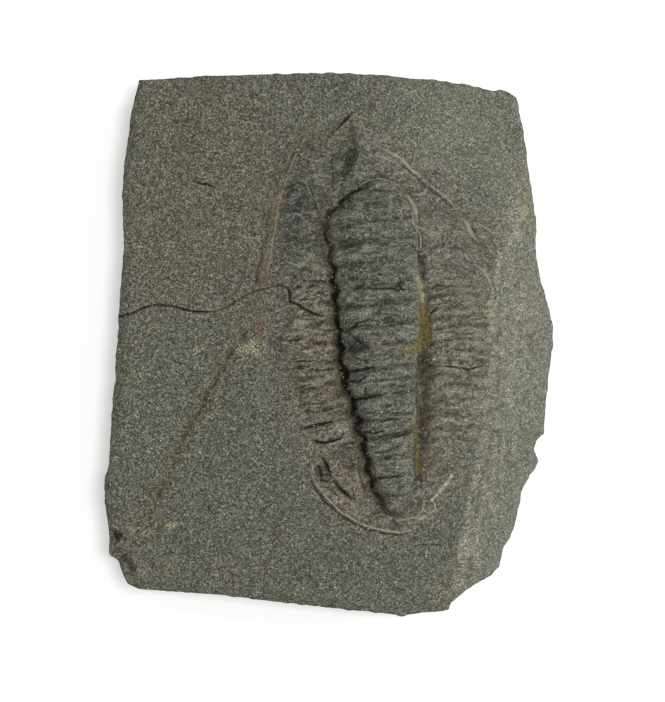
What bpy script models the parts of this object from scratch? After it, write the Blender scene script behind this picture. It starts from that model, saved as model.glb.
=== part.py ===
"""A trilobite fossil on its slab of fine sandstone, lying face up.

The animal and its matrix are one stone, so they are one solid: a broken slab whose top face is a
relief. The relief is worked out as a height over every point of the slab, from the named forms of
the fossil: the ringed lobe down the middle, the furrows beside it, the ribs of both flanks, the
head's and tail's borders, the cracks and the broken slope at the right. Flat stretches are then
thinned to a few large faces.

Blender 4.5. Metres, +Z up. Origin at the middle of the underside. +X is the fossil's right as it
is looked down on, and +Y is towards its head. Figures called mm are millimetres.
"""

import math

import bmesh
import bpy
import numpy as np

MM = 0.001

# Slab
MATRIX_LEVEL = 8.0
GRID_ACROSS = 170
GRID_ALONG = 210
TRIANGLES_TOP_AND_SIDES = 8600
RIM_ROUNDING = 0.45
RIM_DROP = 0.5
# Swells of the split surface: size across, height, mm, and the seed of each
SWELLS = ((9.0, 0.22, 11), (3.1, 0.1, 12))

# Outline of the slab seen from above, mm from its middle, each side from left to right or bottom to top
TOP_SIDE = (
    (-17.2, 23.8), (-15.3, 24.0), (-11.7, 24.2), (-6.3, 24.4), (0.0, 24.55), (4.5, 24.3), (8.1, 24.0),
    (10.8, 23.7), (13.5, 23.2), (14.9, 22.8), (15.3, 23.0), (16.4, 22.7), (16.9, 22.3),
)
RIGHT_SIDE = (
    (10.7, -24.0), (10.9, -23.5), (11.5, -23.0), (12.3, -22.3), (13.3, -21.7), (14.7, -20.9), (15.4, -20.2),
    (15.8, -18.5), (16.3, -17.6), (16.8, -16.5), (17.1, -15.5), (17.5, -13.3), (18.2, -11.9), (18.8, -11.3),
    (19.0, -10.6), (18.6, -9.6), (18.8, -8.7), (19.5, -8.1), (19.6, -6.1), (19.8, -4.7), (20.0, -2.3),
    (20.35, -0.1), (20.3, 1.7), (19.7, 4.0), (19.2, 5.8), (18.7, 7.8), (18.7, 11.6), (18.1, 15.0),
    (17.7, 18.1), (17.2, 20.6), (16.9, 22.3),
)
BOTTOM_SIDE = (
    (-18.2, -21.6), (-17.3, -22.1), (-15.3, -22.3), (-11.7, -22.5), (-8.1, -22.8), (-5.4, -23.2), (0.0, -23.8),
    (3.2, -24.1), (5.0, -24.4), (6.8, -24.55), (8.1, -24.3), (9.9, -24.1), (10.7, -24.0),
)
LEFT_SIDE = (
    (-18.2, -21.6), (-18.7, -20.9), (-19.1, -19.6), (-19.9, -19.0), (-20.0, -16.7), (-20.35, -14.0),
    (-20.3, -12.2), (-20.0, -10.6), (-19.8, -7.3), (-19.4, -2.8), (-19.2, 0.4), (-19.0, 4.0), (-18.6, 9.4),
    (-18.8, 13.4), (-18.6, 15.5), (-18.0, 20.6), (-17.5, 22.6), (-17.2, 23.8),
)

# Broken sides: share of the local height, and how far the stone stands back there, mm
SIDE_LEDGES = ((0.86, 0.0), (0.66, 0.15), (0.46, 0.05), (0.22, 0.45), (0.0, 0.95))
SIDE_ROUGHNESS = 0.45
SIDE_LUMP = 3.2
# The lower edge follows the outline without its small nicks: rim points averaged to either side
SIDE_EASING = 9

# Axial lobe: station y, left edge, right edge, height above the furrows, mm
LOBE = (
    (15.1, 4.3, 4.7, 0.0),
    (14.4, 3.1, 6.0, 0.75),
    (13.2, 1.4, 7.3, 1.3),
    (11.6, 0.1, 7.9, 1.65),
    (10.2, -0.25, 8.1, 1.75),
    (7.0, 0.4, 8.15, 1.95),
    (3.0, 0.75, 8.4, 2.2),
    (-0.5, 1.15, 8.15, 2.3),
    (-3.5, 1.6, 7.95, 2.25),
    (-6.5, 2.6, 7.95, 2.1),
    (-9.5, 3.35, 7.8, 1.85),
    (-12.5, 4.1, 7.5, 1.45),
    (-14.0, 4.7, 7.2, 1.1),
    (-15.3, 5.9, 6.2, 0.0),
)
LOBE_BULGE = 2.6
RING_TILT = 0.13
RING_GROOVE_WIDTH = 0.24
RING_CROWN = 0.16
# Grooves between the rings, at the lobe's middle: station y and depth, mm
RING_GROOVES = (
    (10.6, 0.14), (6.9, 0.1), (4.95, 0.4), (3.4, 0.2), (2.0, 0.34), (0.5, 0.26), (-0.8, 0.2), (-2.2, 0.42),
    (-3.3, 0.3), (-4.6, 0.45), (-5.8, 0.2), (-7.0, 0.28), (-8.3, 0.45), (-9.4, 0.26), (-10.5, 0.3),
    (-11.9, 0.38), (-12.9, 0.24), (-13.9, 0.2),
)

# Axial furrows: depth at the lobe's edge and width, mm
LEFT_FURROW_DEPTH = 0.95
RIGHT_FURROW_DEPTH = 0.45
FURROW_WIDTH = 0.75

# Flanks: ribs across each side of the thorax, mm
LEFT_FLANK_EDGE = ((6.8, -3.4), (3.0, -3.6), (0.0, -3.6), (-3.9, -3.0), (-7.3, -2.1), (-10.0, -1.0))
LEFT_FLANK_ENDS = (6.8, -10.0)
LEFT_RIB_PITCH = 1.86
LEFT_RIB_HEIGHT = 0.2
RIGHT_FLANK_EDGE = ((6.5, 15.2), (3.0, 15.1), (-1.0, 14.7), (-5.5, 14.4), (-9.6, 13.6))
RIGHT_FLANK_ENDS = (5.4, -9.6)
RIGHT_RIB_PITCH = 2.04
RIGHT_RIB_HEIGHT = 0.18
RIB_RISE = (0.15, 0.05)
FLANK_SWELL = 0.35

# Raised lines, mm: points, height, half width
HEAD_BORDER_RIGHT = (
    ((4.3, 17.8), (6.3, 16.6), (8.1, 15.0), (10.1, 13.5), (11.8, 11.5), (13.0, 9.6), (13.7, 8.8)), 0.38, 0.34,
)
CHEEK_SPINE_RIGHT = (((12.1, 8.1), (13.8, 6.6), (14.4, 5.6), (14.9, 4.5)), 0.2, 0.3)
HEAD_BORDER_LEFT = (
    ((-1.9, 19.6), (-3.6, 16.9), (-4.3, 15.0), (-5.0, 11.8), (-5.5, 8.6), (-6.1, 5.1)), 0.42, 0.42,
)
GLABELLA_RIM = (((2.9, 14.6), (4.5, 15.3), (6.3, 14.6), (7.6, 13.2), (8.3, 11.6)), 0.16, 0.25)
TAIL_BORDER = (
    (
        (-1.5, -11.9), (-0.2, -13.9), (1.8, -15.6), (4.7, -16.7), (6.3, -16.9), (8.5, -15.8), (9.7, -13.9),
        (10.9, -11.9),
    ),
    0.3, 0.32,
)
EYE_LOBE = (((9.6, 9.2), (10.5, 8.4), (10.4, 7.5), (9.7, 7.3)), 0.16, 0.26)

# Sunk lines, mm: points, depth, half width
LONG_CRACK = (
    (
        (-19.4, 2.3), (-17.8, 2.9), (-15.3, 3.8), (-13.3, 3.2), (-10.8, 3.0), (-8.1, 4.2), (-5.9, 5.1),
        (-4.5, 5.3), (-3.7, 4.9), (-3.6, 3.9), (-2.0, 3.0), (-0.4, 2.5),
    ),
    0.4, 0.17,
)
DIAGONAL_GROOVE = (
    ((-7.0, 1.4), (-8.8, -0.7), (-11.2, -5.2), (-13.1, -8.6), (-15.1, -13.1), (-16.2, -15.6)), 0.2, 0.5,
)
LOBE_CRACK = (((1.0, 1.1), (1.7, 1.3), (2.6, 2.0), (3.9, 2.2)), 0.35, 0.16)
RIGHT_CRACK = (((9.0, -2.0), (11.3, -2.0), (12.3, -2.2), (13.7, -1.9)), 0.28, 0.16)
TAIL_CRACK = (((-0.4, -10.6), (0.2, -11.9), (1.0, -13.0), (2.1, -13.9)), 0.35, 0.22)
GLABELLA_SHADOW = (((0.4, 12.3), (1.4, 13.4), (2.7, 14.2), (3.8, 14.5)), 0.55, 0.3)

# The split surface steps up to the right of a ridge in front of the head, mm
FRONT_RIDGE = ((1.0, 13.6), (1.9, 15.4), (2.5, 17.0), (2.4, 18.8), (1.8, 20.8), (1.3, 24.6))
FRONT_STEP = 0.55
FRONT_STEP_WIDTH = 1.1
LEFT_CHEEK_SUNK = 0.35
LEFT_CHEEK_ENDS = (20.5, 6.0)
LEFT_CHEEK_INNER = 2.6
TAIL_FIELD_SUNK = 0.28
TAIL_FIELD_MIDDLE = (5.0, -11.6)
TAIL_FIELD_RADII = (5.6, 4.9)

# Broken slope at the right: its upper edge, mm, and how steeply it falls
SLOPE_EDGE = (
    (17.9, 18.0), (17.2, 13.9), (16.6, 10.5), (15.6, 8.7), (15.2, 6.5), (15.1, 3.1), (14.8, -1.0),
    (14.6, -5.5), (13.9, -9.1), (13.1, -13.0), (12.4, -16.3), (11.9, -19.5), (11.2, -22.6), (10.9, -24.6),
)
SLOPE_FALL = 0.52
SLOPE_ROUNDING = 0.35

STONE_COLOUR = (0.120, 0.116, 0.086, 1.0)
STONE_ROUGHNESS = 0.88


def clear_scene():
    """Starts from nothing."""
    for old in list(bpy.data.objects):
        bpy.data.objects.remove(old, do_unlink=True)


def smooth_step(value):
    """0 to 1 with level ends, for a value that runs from 0 to 1."""
    share = np.clip(value, 0.0, 1.0)
    return share * share * (3.0 - 2.0 * share)


def rounded(points, steps=6):
    """A smooth curve through the points of an outline or line."""
    pts = np.array(points, dtype=float)
    ends = np.vstack((2 * pts[0] - pts[1], pts, 2 * pts[-1] - pts[-2]))
    curve = []
    for i in range(len(pts) - 1):
        a, b, c, d = ends[i:i + 4]
        for k in range(steps):
            t = k / steps
            curve.append(
                0.5 * (2 * b + (c - a) * t + (2 * a - 5 * b + 4 * c - d) * t**2 + (3 * b - a - 3 * c + d) * t**3)
            )
    curve.append(pts[-1])
    return np.array(curve)


def at_share(points, shares):
    """Points of a line at the given shares of its length."""
    line = np.array(points, dtype=float)
    run = np.concatenate(([0.0], np.cumsum(np.hypot(*np.diff(line, axis=0).T))))
    places = np.asarray(shares) * run[-1]
    return np.column_stack((np.interp(places, run, line[:, 0]), np.interp(places, run, line[:, 1])))


def distance_to(line, x, y):
    """Distance of every point from a line, and the same with a minus sign on the line's left."""
    nearest = np.full(x.shape, 1e9)
    signed = np.zeros(x.shape)
    for (ax, ay), (bx, by) in zip(line[:-1], line[1:]):
        dx, dy = bx - ax, by - ay
        share = np.clip(((x - ax) * dx + (y - ay) * dy) / (dx * dx + dy * dy), 0.0, 1.0)
        gap = np.hypot(x - ax - share * dx, y - ay - share * dy)
        side = np.where((x - ax) * dy - (y - ay) * dx > 0.0, 1.0, -1.0)
        signed = np.where(gap < nearest, gap * side, signed)
        nearest = np.minimum(gap, nearest)
    return nearest, signed


def lumps(x, y, size, seed):
    """Soft random swells about size mm across, between -1 and 1."""
    lattice = np.random.default_rng(seed).uniform(-1.0, 1.0, (80, 80))
    gx = x / size + 40.0
    gy = y / size + 40.0
    ix = np.floor(gx).astype(int) % 79
    iy = np.floor(gy).astype(int) % 79
    fx = smooth_step(gx - np.floor(gx))
    fy = smooth_step(gy - np.floor(gy))
    low = lattice[ix, iy] * (1 - fx) + lattice[ix + 1, iy] * fx
    high = lattice[ix, iy + 1] * (1 - fx) + lattice[ix + 1, iy + 1] * fx
    return low * (1 - fy) + high * fy


def raised(form, x, y):
    """Height of a raised line."""
    points, height, half_width = form
    gap, _ = distance_to(rounded(points), x, y)
    return height * np.exp(-(gap / half_width) ** 2)


def sunk(form, x, y):
    """Depth of a crack or groove."""
    points, depth, half_width = form
    gap, _ = distance_to(np.array(points), x, y)
    return -depth * np.exp(-(gap / half_width) ** 2)


def lobe_frame(x, y):
    """Where each point lies across the lobe (-1 left edge, 1 right edge), and the lobe's height there."""
    stations = rounded(LOBE)[::-1]
    left = np.interp(y, stations[:, 0], stations[:, 1])
    right = np.interp(y, stations[:, 0], stations[:, 2])
    height = np.interp(y, stations[:, 0], stations[:, 3], left=0.0, right=0.0)
    across = (2 * x - left - right) / (right - left)
    return across, height, left, right


def axial_lobe(x, y):
    """The ringed lobe down the middle, from the glabella to the tail's tip."""
    across, height, left, right = lobe_frame(x, y)
    inside = np.clip(1.0 - np.abs(across) ** LOBE_BULGE, 0.0, 1.0)
    dome = height * inside**0.55
    station = y - RING_TILT * (x - (left + right) / 2)
    grooves = np.zeros(x.shape)
    for place, depth in RING_GROOVES:
        grooves += depth * np.exp(-((station - place) / RING_GROOVE_WIDTH) ** 2)
    places = np.array([place for place, _ in RING_GROOVES])[::-1]
    gap = np.interp(station, places, np.arange(len(places)))
    crown = RING_CROWN * np.sin(np.pi * (gap - np.floor(gap)))
    body = smooth_step(inside * 2.5)
    return dome + body * (crown - grooves) * np.clip(height, 0.0, 1.0)


def axial_furrows(x, y):
    """The deep furrow along the lobe's left side and the shallow, filled one along its right."""
    _, height, left, right = lobe_frame(x, y)
    body = np.clip(height / 1.2, 0.0, 1.0)
    deep = np.exp(-(np.clip(left - x, -0.2, None) / FURROW_WIDTH) ** 2) * (x < left + 0.2)
    shallow = np.exp(-(np.clip(x - right, -0.2, None) / FURROW_WIDTH) ** 2) * (x > right - 0.2)
    back = smooth_step((9.5 - y) / 3.0)
    return -body * (LEFT_FURROW_DEPTH * deep * (0.4 + 0.6 * back) + RIGHT_FURROW_DEPTH * shallow)


def flank(x, y, inner, edge, ends, pitch, rib_height, rise):
    """Ribs between the furrow and the flank's outer edge, fading at the flank's front and back."""
    stations = np.array(edge)[::-1]
    outer = np.interp(y, stations[:, 0], stations[:, 1])
    share = (x - inner) / (outer - inner)
    inside = smooth_step(share * 6.0) * smooth_step((1.0 - share) * 5.0)
    front, back = ends
    length = smooth_step((front - y) / 1.0) * smooth_step((y - back) / 1.5)
    station = y - rise * (x - inner)
    rib = np.cos(2 * math.pi * station / pitch)
    split = 0.35 * np.cos(4 * math.pi * station / pitch)
    swell = FLANK_SWELL * np.sin(np.pi * np.clip(share, 0.0, 1.0))
    return inside * length * (rib_height * (rib + split) + swell)


def flanks(x, y):
    """Both flanks."""
    _, _, left, right = lobe_frame(x, y)
    left_rise, right_rise = RIB_RISE
    left_side = flank(
        x, y, left, LEFT_FLANK_EDGE, LEFT_FLANK_ENDS, LEFT_RIB_PITCH, LEFT_RIB_HEIGHT, left_rise
    )
    right_side = flank(
        x, y, right, RIGHT_FLANK_EDGE, RIGHT_FLANK_ENDS, RIGHT_RIB_PITCH, RIGHT_RIB_HEIGHT, right_rise
    )
    return left_side + right_side


def split_levels(x, y):
    """The split surface: one step up in front of the head, a sunk left cheek and a sunk tail field."""
    _, past_ridge = distance_to(rounded(FRONT_RIDGE), x, y)
    ahead = smooth_step((y - FRONT_RIDGE[0][1]) / 2.5) * smooth_step((14.0 - x) / 9.0)
    step = FRONT_STEP * smooth_step(0.6 + past_ridge / FRONT_STEP_WIDTH) * ahead
    _, past_border = distance_to(rounded(HEAD_BORDER_LEFT[0])[::-1], x, y)
    front, back = LEFT_CHEEK_ENDS
    cheek = smooth_step(past_border) * smooth_step((y - back) / 3.0) * smooth_step((front - y) / 2.5)
    cheek *= smooth_step((LEFT_CHEEK_INNER - x) / 1.5)
    tail = np.hypot(
        (x - TAIL_FIELD_MIDDLE[0]) / TAIL_FIELD_RADII[0], (y - TAIL_FIELD_MIDDLE[1]) / TAIL_FIELD_RADII[1]
    )
    return step - LEFT_CHEEK_SUNK * cheek - TAIL_FIELD_SUNK * smooth_step((1.05 - tail) * 3.0)


def broken_slope(x, y):
    """Where the slab's right side has broken away and falls to its edge."""
    _, past = distance_to(rounded(SLOPE_EDGE)[::-1], x, y)
    return -SLOPE_FALL * 0.5 * (past + np.hypot(past, SLOPE_ROUNDING))


def top_height(x, y, rim):
    """Height in mm of the top face over a point, where rim is its distance from the outline."""
    z = MATRIX_LEVEL + split_levels(x, y) + flanks(x, y)
    for size, height, seed in SWELLS:
        z += height * lumps(x, y, size, seed)
    for form in (HEAD_BORDER_RIGHT, HEAD_BORDER_LEFT, CHEEK_SPINE_RIGHT, GLABELLA_RIM, TAIL_BORDER, EYE_LOBE):
        z += raised(form, x, y)
    z += axial_furrows(x, y) + axial_lobe(x, y)
    for form in (LONG_CRACK, DIAGONAL_GROOVE, LOBE_CRACK, RIGHT_CRACK, TAIL_CRACK, GLABELLA_SHADOW):
        z += sunk(form, x, y)
    z += broken_slope(x, y)
    return z - RIM_DROP * np.exp(-(rim / RIM_ROUNDING) ** 2)


def slab_grid():
    """A grid of points that fills the outline: four sides, blended across."""
    u = np.linspace(0.0, 1.0, GRID_ACROSS + 1)
    v = np.linspace(0.0, 1.0, GRID_ALONG + 1)
    bottom = at_share(BOTTOM_SIDE, u)[:, None, :]
    top = at_share(TOP_SIDE, u)[:, None, :]
    left = at_share(LEFT_SIDE, v)[None, :, :]
    right = at_share(RIGHT_SIDE, v)[None, :, :]
    uu = u[:, None, None]
    vv = v[None, :, None]
    sides = (1 - vv) * bottom + vv * top + (1 - uu) * left + uu * right
    corners = (1 - uu) * (1 - vv) * bottom[0, 0] + uu * (1 - vv) * bottom[-1, 0]
    corners = corners + (1 - uu) * vv * top[0, 0] + uu * vv * top[-1, 0]
    return sides - corners


def rim_order():
    """The grid's border points, once round anticlockwise."""
    across, along = GRID_ACROSS, GRID_ALONG
    order = [(i, 0) for i in range(across)]
    order += [(across, j) for j in range(along)]
    order += [(i, along) for i in range(across, 0, -1)]
    order += [(0, j) for j in range(along, 0, -1)]
    return order


def side_rings(rim_xy, rim_z):
    """Rings of points down the broken sides, each standing back from the outline by its own amount."""
    near = range(-SIDE_EASING, SIDE_EASING + 1)
    eased = sum(np.roll(rim_xy, k, axis=0) for k in near) / len(near)
    tangent = np.roll(eased, -1, axis=0) - np.roll(eased, 1, axis=0)
    tangent /= np.hypot(tangent[:, 0], tangent[:, 1])[:, None]
    inward = np.column_stack((-tangent[:, 1], tangent[:, 0]))
    rings = []
    for number, (share, back) in enumerate(SIDE_LEDGES):
        rough = lumps(rim_xy[:, 0], rim_xy[:, 1], SIDE_LUMP, 30 + number)
        rough = rough + 0.5 * share * lumps(rim_xy[:, 0], rim_xy[:, 1], SIDE_LUMP / 2.4, 50 + number)
        stand = back + SIDE_ROUGHNESS * np.clip(0.5 + rough, 0.0, None) * (0.3 + 0.7 * (1.0 - share))
        place = share * rim_xy + (1.0 - share) * eased + inward * stand[:, None]
        rings.append(np.column_stack((place, rim_z * share)))
    return rings


def full_relief():
    """The whole top and the sides as one fine mesh, open below."""
    grid = slab_grid()
    x, y = grid[:, :, 0], grid[:, :, 1]
    order = rim_order()
    outline = np.array([grid[i, j] for i, j in order] + [grid[order[0]]])
    rim, _ = distance_to(outline, x, y)
    z = top_height(x, y, rim)
    points = [tuple(p) for p in np.dstack((x, y, z)).reshape(-1, 3) * MM]
    wide = GRID_ALONG + 1
    faces = []
    for i in range(GRID_ACROSS):
        for j in range(GRID_ALONG):
            a = i * wide + j
            faces.append((a, a + wide, a + wide + 1, a + 1))
    upper = [i * wide + j for i, j in order]
    rim_z = np.array([z[i, j] for i, j in order])
    for ring in side_rings(outline[:-1], rim_z):
        lower = list(range(len(points), len(points) + len(ring)))
        points += [tuple(p) for p in ring * MM]
        for k in range(len(order)):
            n = (k + 1) % len(order)
            faces.append((upper[k], lower[k], lower[n], upper[n]))
        upper = lower
    mesh = bpy.data.meshes.new("relief")
    mesh.from_pydata(points, [], faces)
    mesh.validate()
    return mesh


def thinned(mesh, triangles):
    """The same shape with large faces where it is flat."""
    carrier = bpy.data.objects.new("carrier", mesh)
    bpy.context.scene.collection.objects.link(carrier)
    count = sum(len(face.vertices) - 2 for face in mesh.polygons)
    thin = carrier.modifiers.new("thin", "DECIMATE")
    thin.ratio = triangles / count
    thin.use_collapse_triangulate = True
    bpy.context.view_layer.update()
    result = bpy.data.meshes.new_from_object(carrier.evaluated_get(bpy.context.evaluated_depsgraph_get()))
    bpy.data.objects.remove(carrier, do_unlink=True)
    return result


def close_below(mesh):
    """Lays the lower edge on the ground plane and closes it with one flat underside."""
    shape = bmesh.new()
    shape.from_mesh(mesh)
    lower_edge = [edge for edge in shape.edges if edge.is_boundary]
    for edge in lower_edge:
        for vert in edge.verts:
            vert.co.z = 0.0
    bmesh.ops.holes_fill(shape, edges=lower_edge, sides=0)
    bmesh.ops.triangulate(shape, faces=[face for face in shape.faces if len(face.verts) > 3])
    bmesh.ops.recalc_face_normals(shape, faces=shape.faces)
    shape.to_mesh(mesh)
    shape.free()
    mesh.shade_smooth()
    mesh.set_sharp_from_angle(angle=math.radians(40))


def stone_material():
    """Fine greenish-grey sandstone."""
    material = bpy.data.materials.new("fine_sandstone")
    material.use_nodes = True
    shader = material.node_tree.nodes["Principled BSDF"]
    shader.inputs["Base Color"].default_value = STONE_COLOUR
    shader.inputs["Roughness"].default_value = STONE_ROUGHNESS
    shader.inputs["Metallic"].default_value = 0.0
    return material


def fossil_slab():
    """The fossil and its slab."""
    mesh = thinned(full_relief(), TRIANGLES_TOP_AND_SIDES)
    close_below(mesh)
    mesh.name = "fossil_slab"
    mesh.materials.append(stone_material())
    slab = bpy.data.objects.new("fossil_slab", mesh)
    bpy.context.scene.collection.objects.link(slab)
    return slab


clear_scene()
fossil_slab()
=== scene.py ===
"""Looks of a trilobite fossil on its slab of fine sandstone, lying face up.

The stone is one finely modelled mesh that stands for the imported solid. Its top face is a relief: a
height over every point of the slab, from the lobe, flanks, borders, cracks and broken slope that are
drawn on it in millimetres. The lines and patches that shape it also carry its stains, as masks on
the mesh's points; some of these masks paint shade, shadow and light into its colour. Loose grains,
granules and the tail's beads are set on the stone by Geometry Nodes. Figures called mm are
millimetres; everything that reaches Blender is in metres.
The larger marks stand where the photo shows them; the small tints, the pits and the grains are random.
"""

from __future__ import annotations

import logging
import math
from collections.abc import Iterable, Sequence
from dataclasses import dataclass, field
from enum import Enum

import bpy
import numpy as np
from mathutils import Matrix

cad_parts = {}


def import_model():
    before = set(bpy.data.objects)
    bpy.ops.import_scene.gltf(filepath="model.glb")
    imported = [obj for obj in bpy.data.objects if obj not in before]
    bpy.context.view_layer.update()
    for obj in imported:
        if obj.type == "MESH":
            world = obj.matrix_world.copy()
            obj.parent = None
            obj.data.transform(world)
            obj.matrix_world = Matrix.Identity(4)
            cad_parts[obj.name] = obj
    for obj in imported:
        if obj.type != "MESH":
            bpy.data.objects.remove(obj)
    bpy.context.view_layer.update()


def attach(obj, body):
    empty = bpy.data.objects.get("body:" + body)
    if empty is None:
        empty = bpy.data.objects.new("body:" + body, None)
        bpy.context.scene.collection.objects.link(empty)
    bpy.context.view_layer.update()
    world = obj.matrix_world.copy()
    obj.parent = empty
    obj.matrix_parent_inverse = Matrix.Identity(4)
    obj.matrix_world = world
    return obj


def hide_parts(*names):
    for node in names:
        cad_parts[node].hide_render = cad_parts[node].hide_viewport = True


LOG = logging.getLogger("fossil")
MM = 0.001
FAR = 9.0
COARSE_GRAINS = 2.6
NODE = "fossil_slab"
BODY = "root"

Point = tuple[float, float]
Points = tuple[Point, ...]
Grid = np.ndarray
Socket = bpy.types.NodeSocket
NodeTree = bpy.types.NodeTree
Triple = tuple[float, float, float]
Colour = Triple
Marks = tuple["Line | Crack | Patch | Facet", ...]


class Stain(Enum):
    """What colours the stone in places, its stains and the painted shade, shadow and light; each is a mask on
    the mesh's points.
    """

    RUST = "rust"
    OLIVE = "olive"
    # Dark mineral and dark marks, and painted shadow in the slot beside the lobe, round the glabella, beside
    # the left border and at the step in front of the head.
    DARK = "dark"
    PALE = "pale"
    PINK = "pink"
    SLATE = "slate"
    WARM = "warm"
    COOL = "cool"
    # Painted light, with paler stone: lighter towards the lamp at the right, on the broken slope and along
    # its edge.
    LIGHT = "light"
    SKIN = "skin"
    # Darker tone of the stone, and painted shade in the sunk left cheek, on the break in front of the head,
    # over the step and in the diagonal groove.
    DARKER_TONE_AND_PAINTED_SHADE = "shade_tint"
    # Painted shade in the relief's hollows, and painted highlight on its crests.
    HOLLOW_SHADE = "hollow"
    CREST_HIGHLIGHT = "crest"
    WISP = "wisp"
    FLECK = "fleck"
    CRACK_GAP = "crack_gap"
    # Where the dark cracks, and a few painted shadow lines, are inked.
    CRACK_AND_SHADOW_INK = "crack_dark"
    THREAD_GAP = "thread_gap"
    THREAD_PALE = "thread_pale"


def smooth_step(value: Grid | float) -> Grid:
    """Gives 0 to 1 with level ends, for a value that runs from 0 to 1."""
    share = np.clip(value, 0.0, 1.0)
    return share * share * (3.0 - 2.0 * share)


def rounded(points: Sequence[Point], steps: int = 5) -> Grid:
    """Draws a smooth curve through points.

    Args:
        points: the points, mm.
        steps: pieces between two points.

    Returns:
        The curve's points, one row each.
    """
    pts = np.array(points, dtype=float)
    ends = np.vstack((2 * pts[0] - pts[1], pts, 2 * pts[-1] - pts[-2]))
    curve = []
    for i in range(len(pts) - 1):
        a, b, c, d = ends[i:i + 4]
        for t in np.arange(steps) / steps:
            cubic = (3 * b - a - 3 * c + d) * t**3
            curve.append(0.5 * (2 * b + (c - a) * t + (2 * a - 5 * b + 4 * c - d) * t**2 + cubic))
    curve.append(pts[-1])
    return np.array(curve)


def at_share(points: Sequence[Point], shares: Grid) -> Grid:
    """Gives points of a line at shares of its length.

    Args:
        points: the line, mm.
        shares: where along it, 0 to 1.

    Returns:
        One row for each share.
    """
    line = np.array(points, dtype=float)
    run = np.concatenate(([0.0], np.cumsum(np.hypot(*np.diff(line, axis=0).T))))
    places = np.asarray(shares) * run[-1]
    return np.column_stack((np.interp(places, run, line[:, 0]), np.interp(places, run, line[:, 1])))


def eased(grid: Grid, reach: int) -> Grid:
    """Smooths a grid of values.

    Args:
        grid: the values.
        reach: how many cells the smoothing reaches each way.

    Returns:
        The smoothed values.
    """
    for _ in range(4):
        grid = np.pad(grid, ((0, 0), (reach, reach)), "edge")
        wide = grid.shape[1] - 2 * reach
        grid = (sum(grid[:, k:k + wide] for k in range(2 * reach + 1)) / (2 * reach + 1)).T
    return grid


def distance_to(line: Grid, x: Grid, y: Grid) -> tuple[Grid, Grid]:
    """Measures how far points lie from a line.

    Args:
        line: the line's points, mm.
        x, y: the points, mm.

    Returns:
        The distance, and the distance with a minus sign on the line's left.
    """
    nearest = np.full(x.shape, np.inf)
    signed = np.zeros(x.shape)
    for (ax, ay), (bx, by) in zip(line[:-1], line[1:]):
        dx, dy = bx - ax, by - ay
        share = np.clip(((x - ax) * dx + (y - ay) * dy) / (dx * dx + dy * dy), 0.0, 1.0)
        gap = np.hypot(x - ax - share * dx, y - ay - share * dy)
        side = np.where((x - ax) * dy - (y - ay) * dx > 0.0, 1.0, -1.0)
        signed = np.where(gap < nearest, gap * side, signed)
        nearest = np.minimum(gap, nearest)
    return nearest, signed


def lumps(x: Grid, y: Grid, size: float, seed: int) -> Grid:
    """Gives soft random swells.

    Args:
        x, y: the points, mm.
        size: how far apart the swells are, mm.
        seed: which swells.

    Returns:
        Values between -1 and 1.
    """
    cells = 80
    lattice = np.random.default_rng(seed).uniform(-1.0, 1.0, (cells, cells))
    gx = x / size + cells / 2
    gy = y / size + cells / 2
    ix = np.floor(gx).astype(int) % (cells - 1)
    iy = np.floor(gy).astype(int) % (cells - 1)
    fx = smooth_step(gx - np.floor(gx))
    fy = smooth_step(gy - np.floor(gy))
    low = lattice[ix, iy] * (1 - fx) + lattice[ix + 1, iy] * fx
    high = lattice[ix, iy + 1] * (1 - fx) + lattice[ix + 1, iy + 1] * fx
    return low * (1 - fy) + high * fy


@dataclass(frozen=True)
class Line:
    """A line drawn on the stone, mm: it stands out or cuts in, and it may carry a stain.

    A height below nought is a cut. The stain's half width is the line's own times its reach. A ragged
    line wanders and fades by itself.
    """

    points: Points
    height: float
    half_width: float
    stain: Stain | None = None
    amount: float = 0.0
    reach: float = 1.0
    ragged: float = 0.35

    def gap(self, x: Grid, y: Grid) -> tuple[Grid, Grid]:
        """Measures the distance from the line near it.

        Args:
            x, y: the points, mm.

        Returns:
            Which points are near, and their distance.
        """
        pts = np.array(self.points)
        room = 4.0 * self.half_width * max(self.reach, 1.0) + 0.2
        low, high = pts.min(0) - room, pts.max(0) + room
        near = (x > low[0]) & (x < high[0]) & (y > low[1]) & (y < high[1])
        wander = (0.25 + 0.5 * self.ragged) * self.half_width * lumps(x[near], y[near], 0.5, 71)
        wander += 0.7 * self.ragged * self.half_width * lumps(x[near], y[near], 0.2, 80)
        distance, _ = distance_to(rounded(self.points, 4), x[near] + wander, y[near] - wander)
        return near, distance

    def press(self, z: Grid, x: Grid, y: Grid) -> None:
        """Adds the line's own height to z, in place."""
        near, distance = self.gap(x, y)
        fade = 1.0 + self.ragged * lumps(x[near], y[near], 0.9, 72)
        z[near] += self.height * fade * np.exp(-(distance / self.half_width) ** 2)

    def colour(self, masks: dict[Stain, Grid], x: Grid, y: Grid) -> None:
        """Adds the line's stain to its mask, in place."""
        if self.stain is None:
            return
        near, distance = self.gap(x, y)
        fade = 1.0 + 1.6 * self.ragged * lumps(x[near], y[near], 0.7, 78)
        ink = self.amount * fade * np.exp(-(distance / (self.half_width * self.reach)) ** 2)
        masks[self.stain][near] = np.maximum(masks[self.stain][near], ink)


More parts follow.
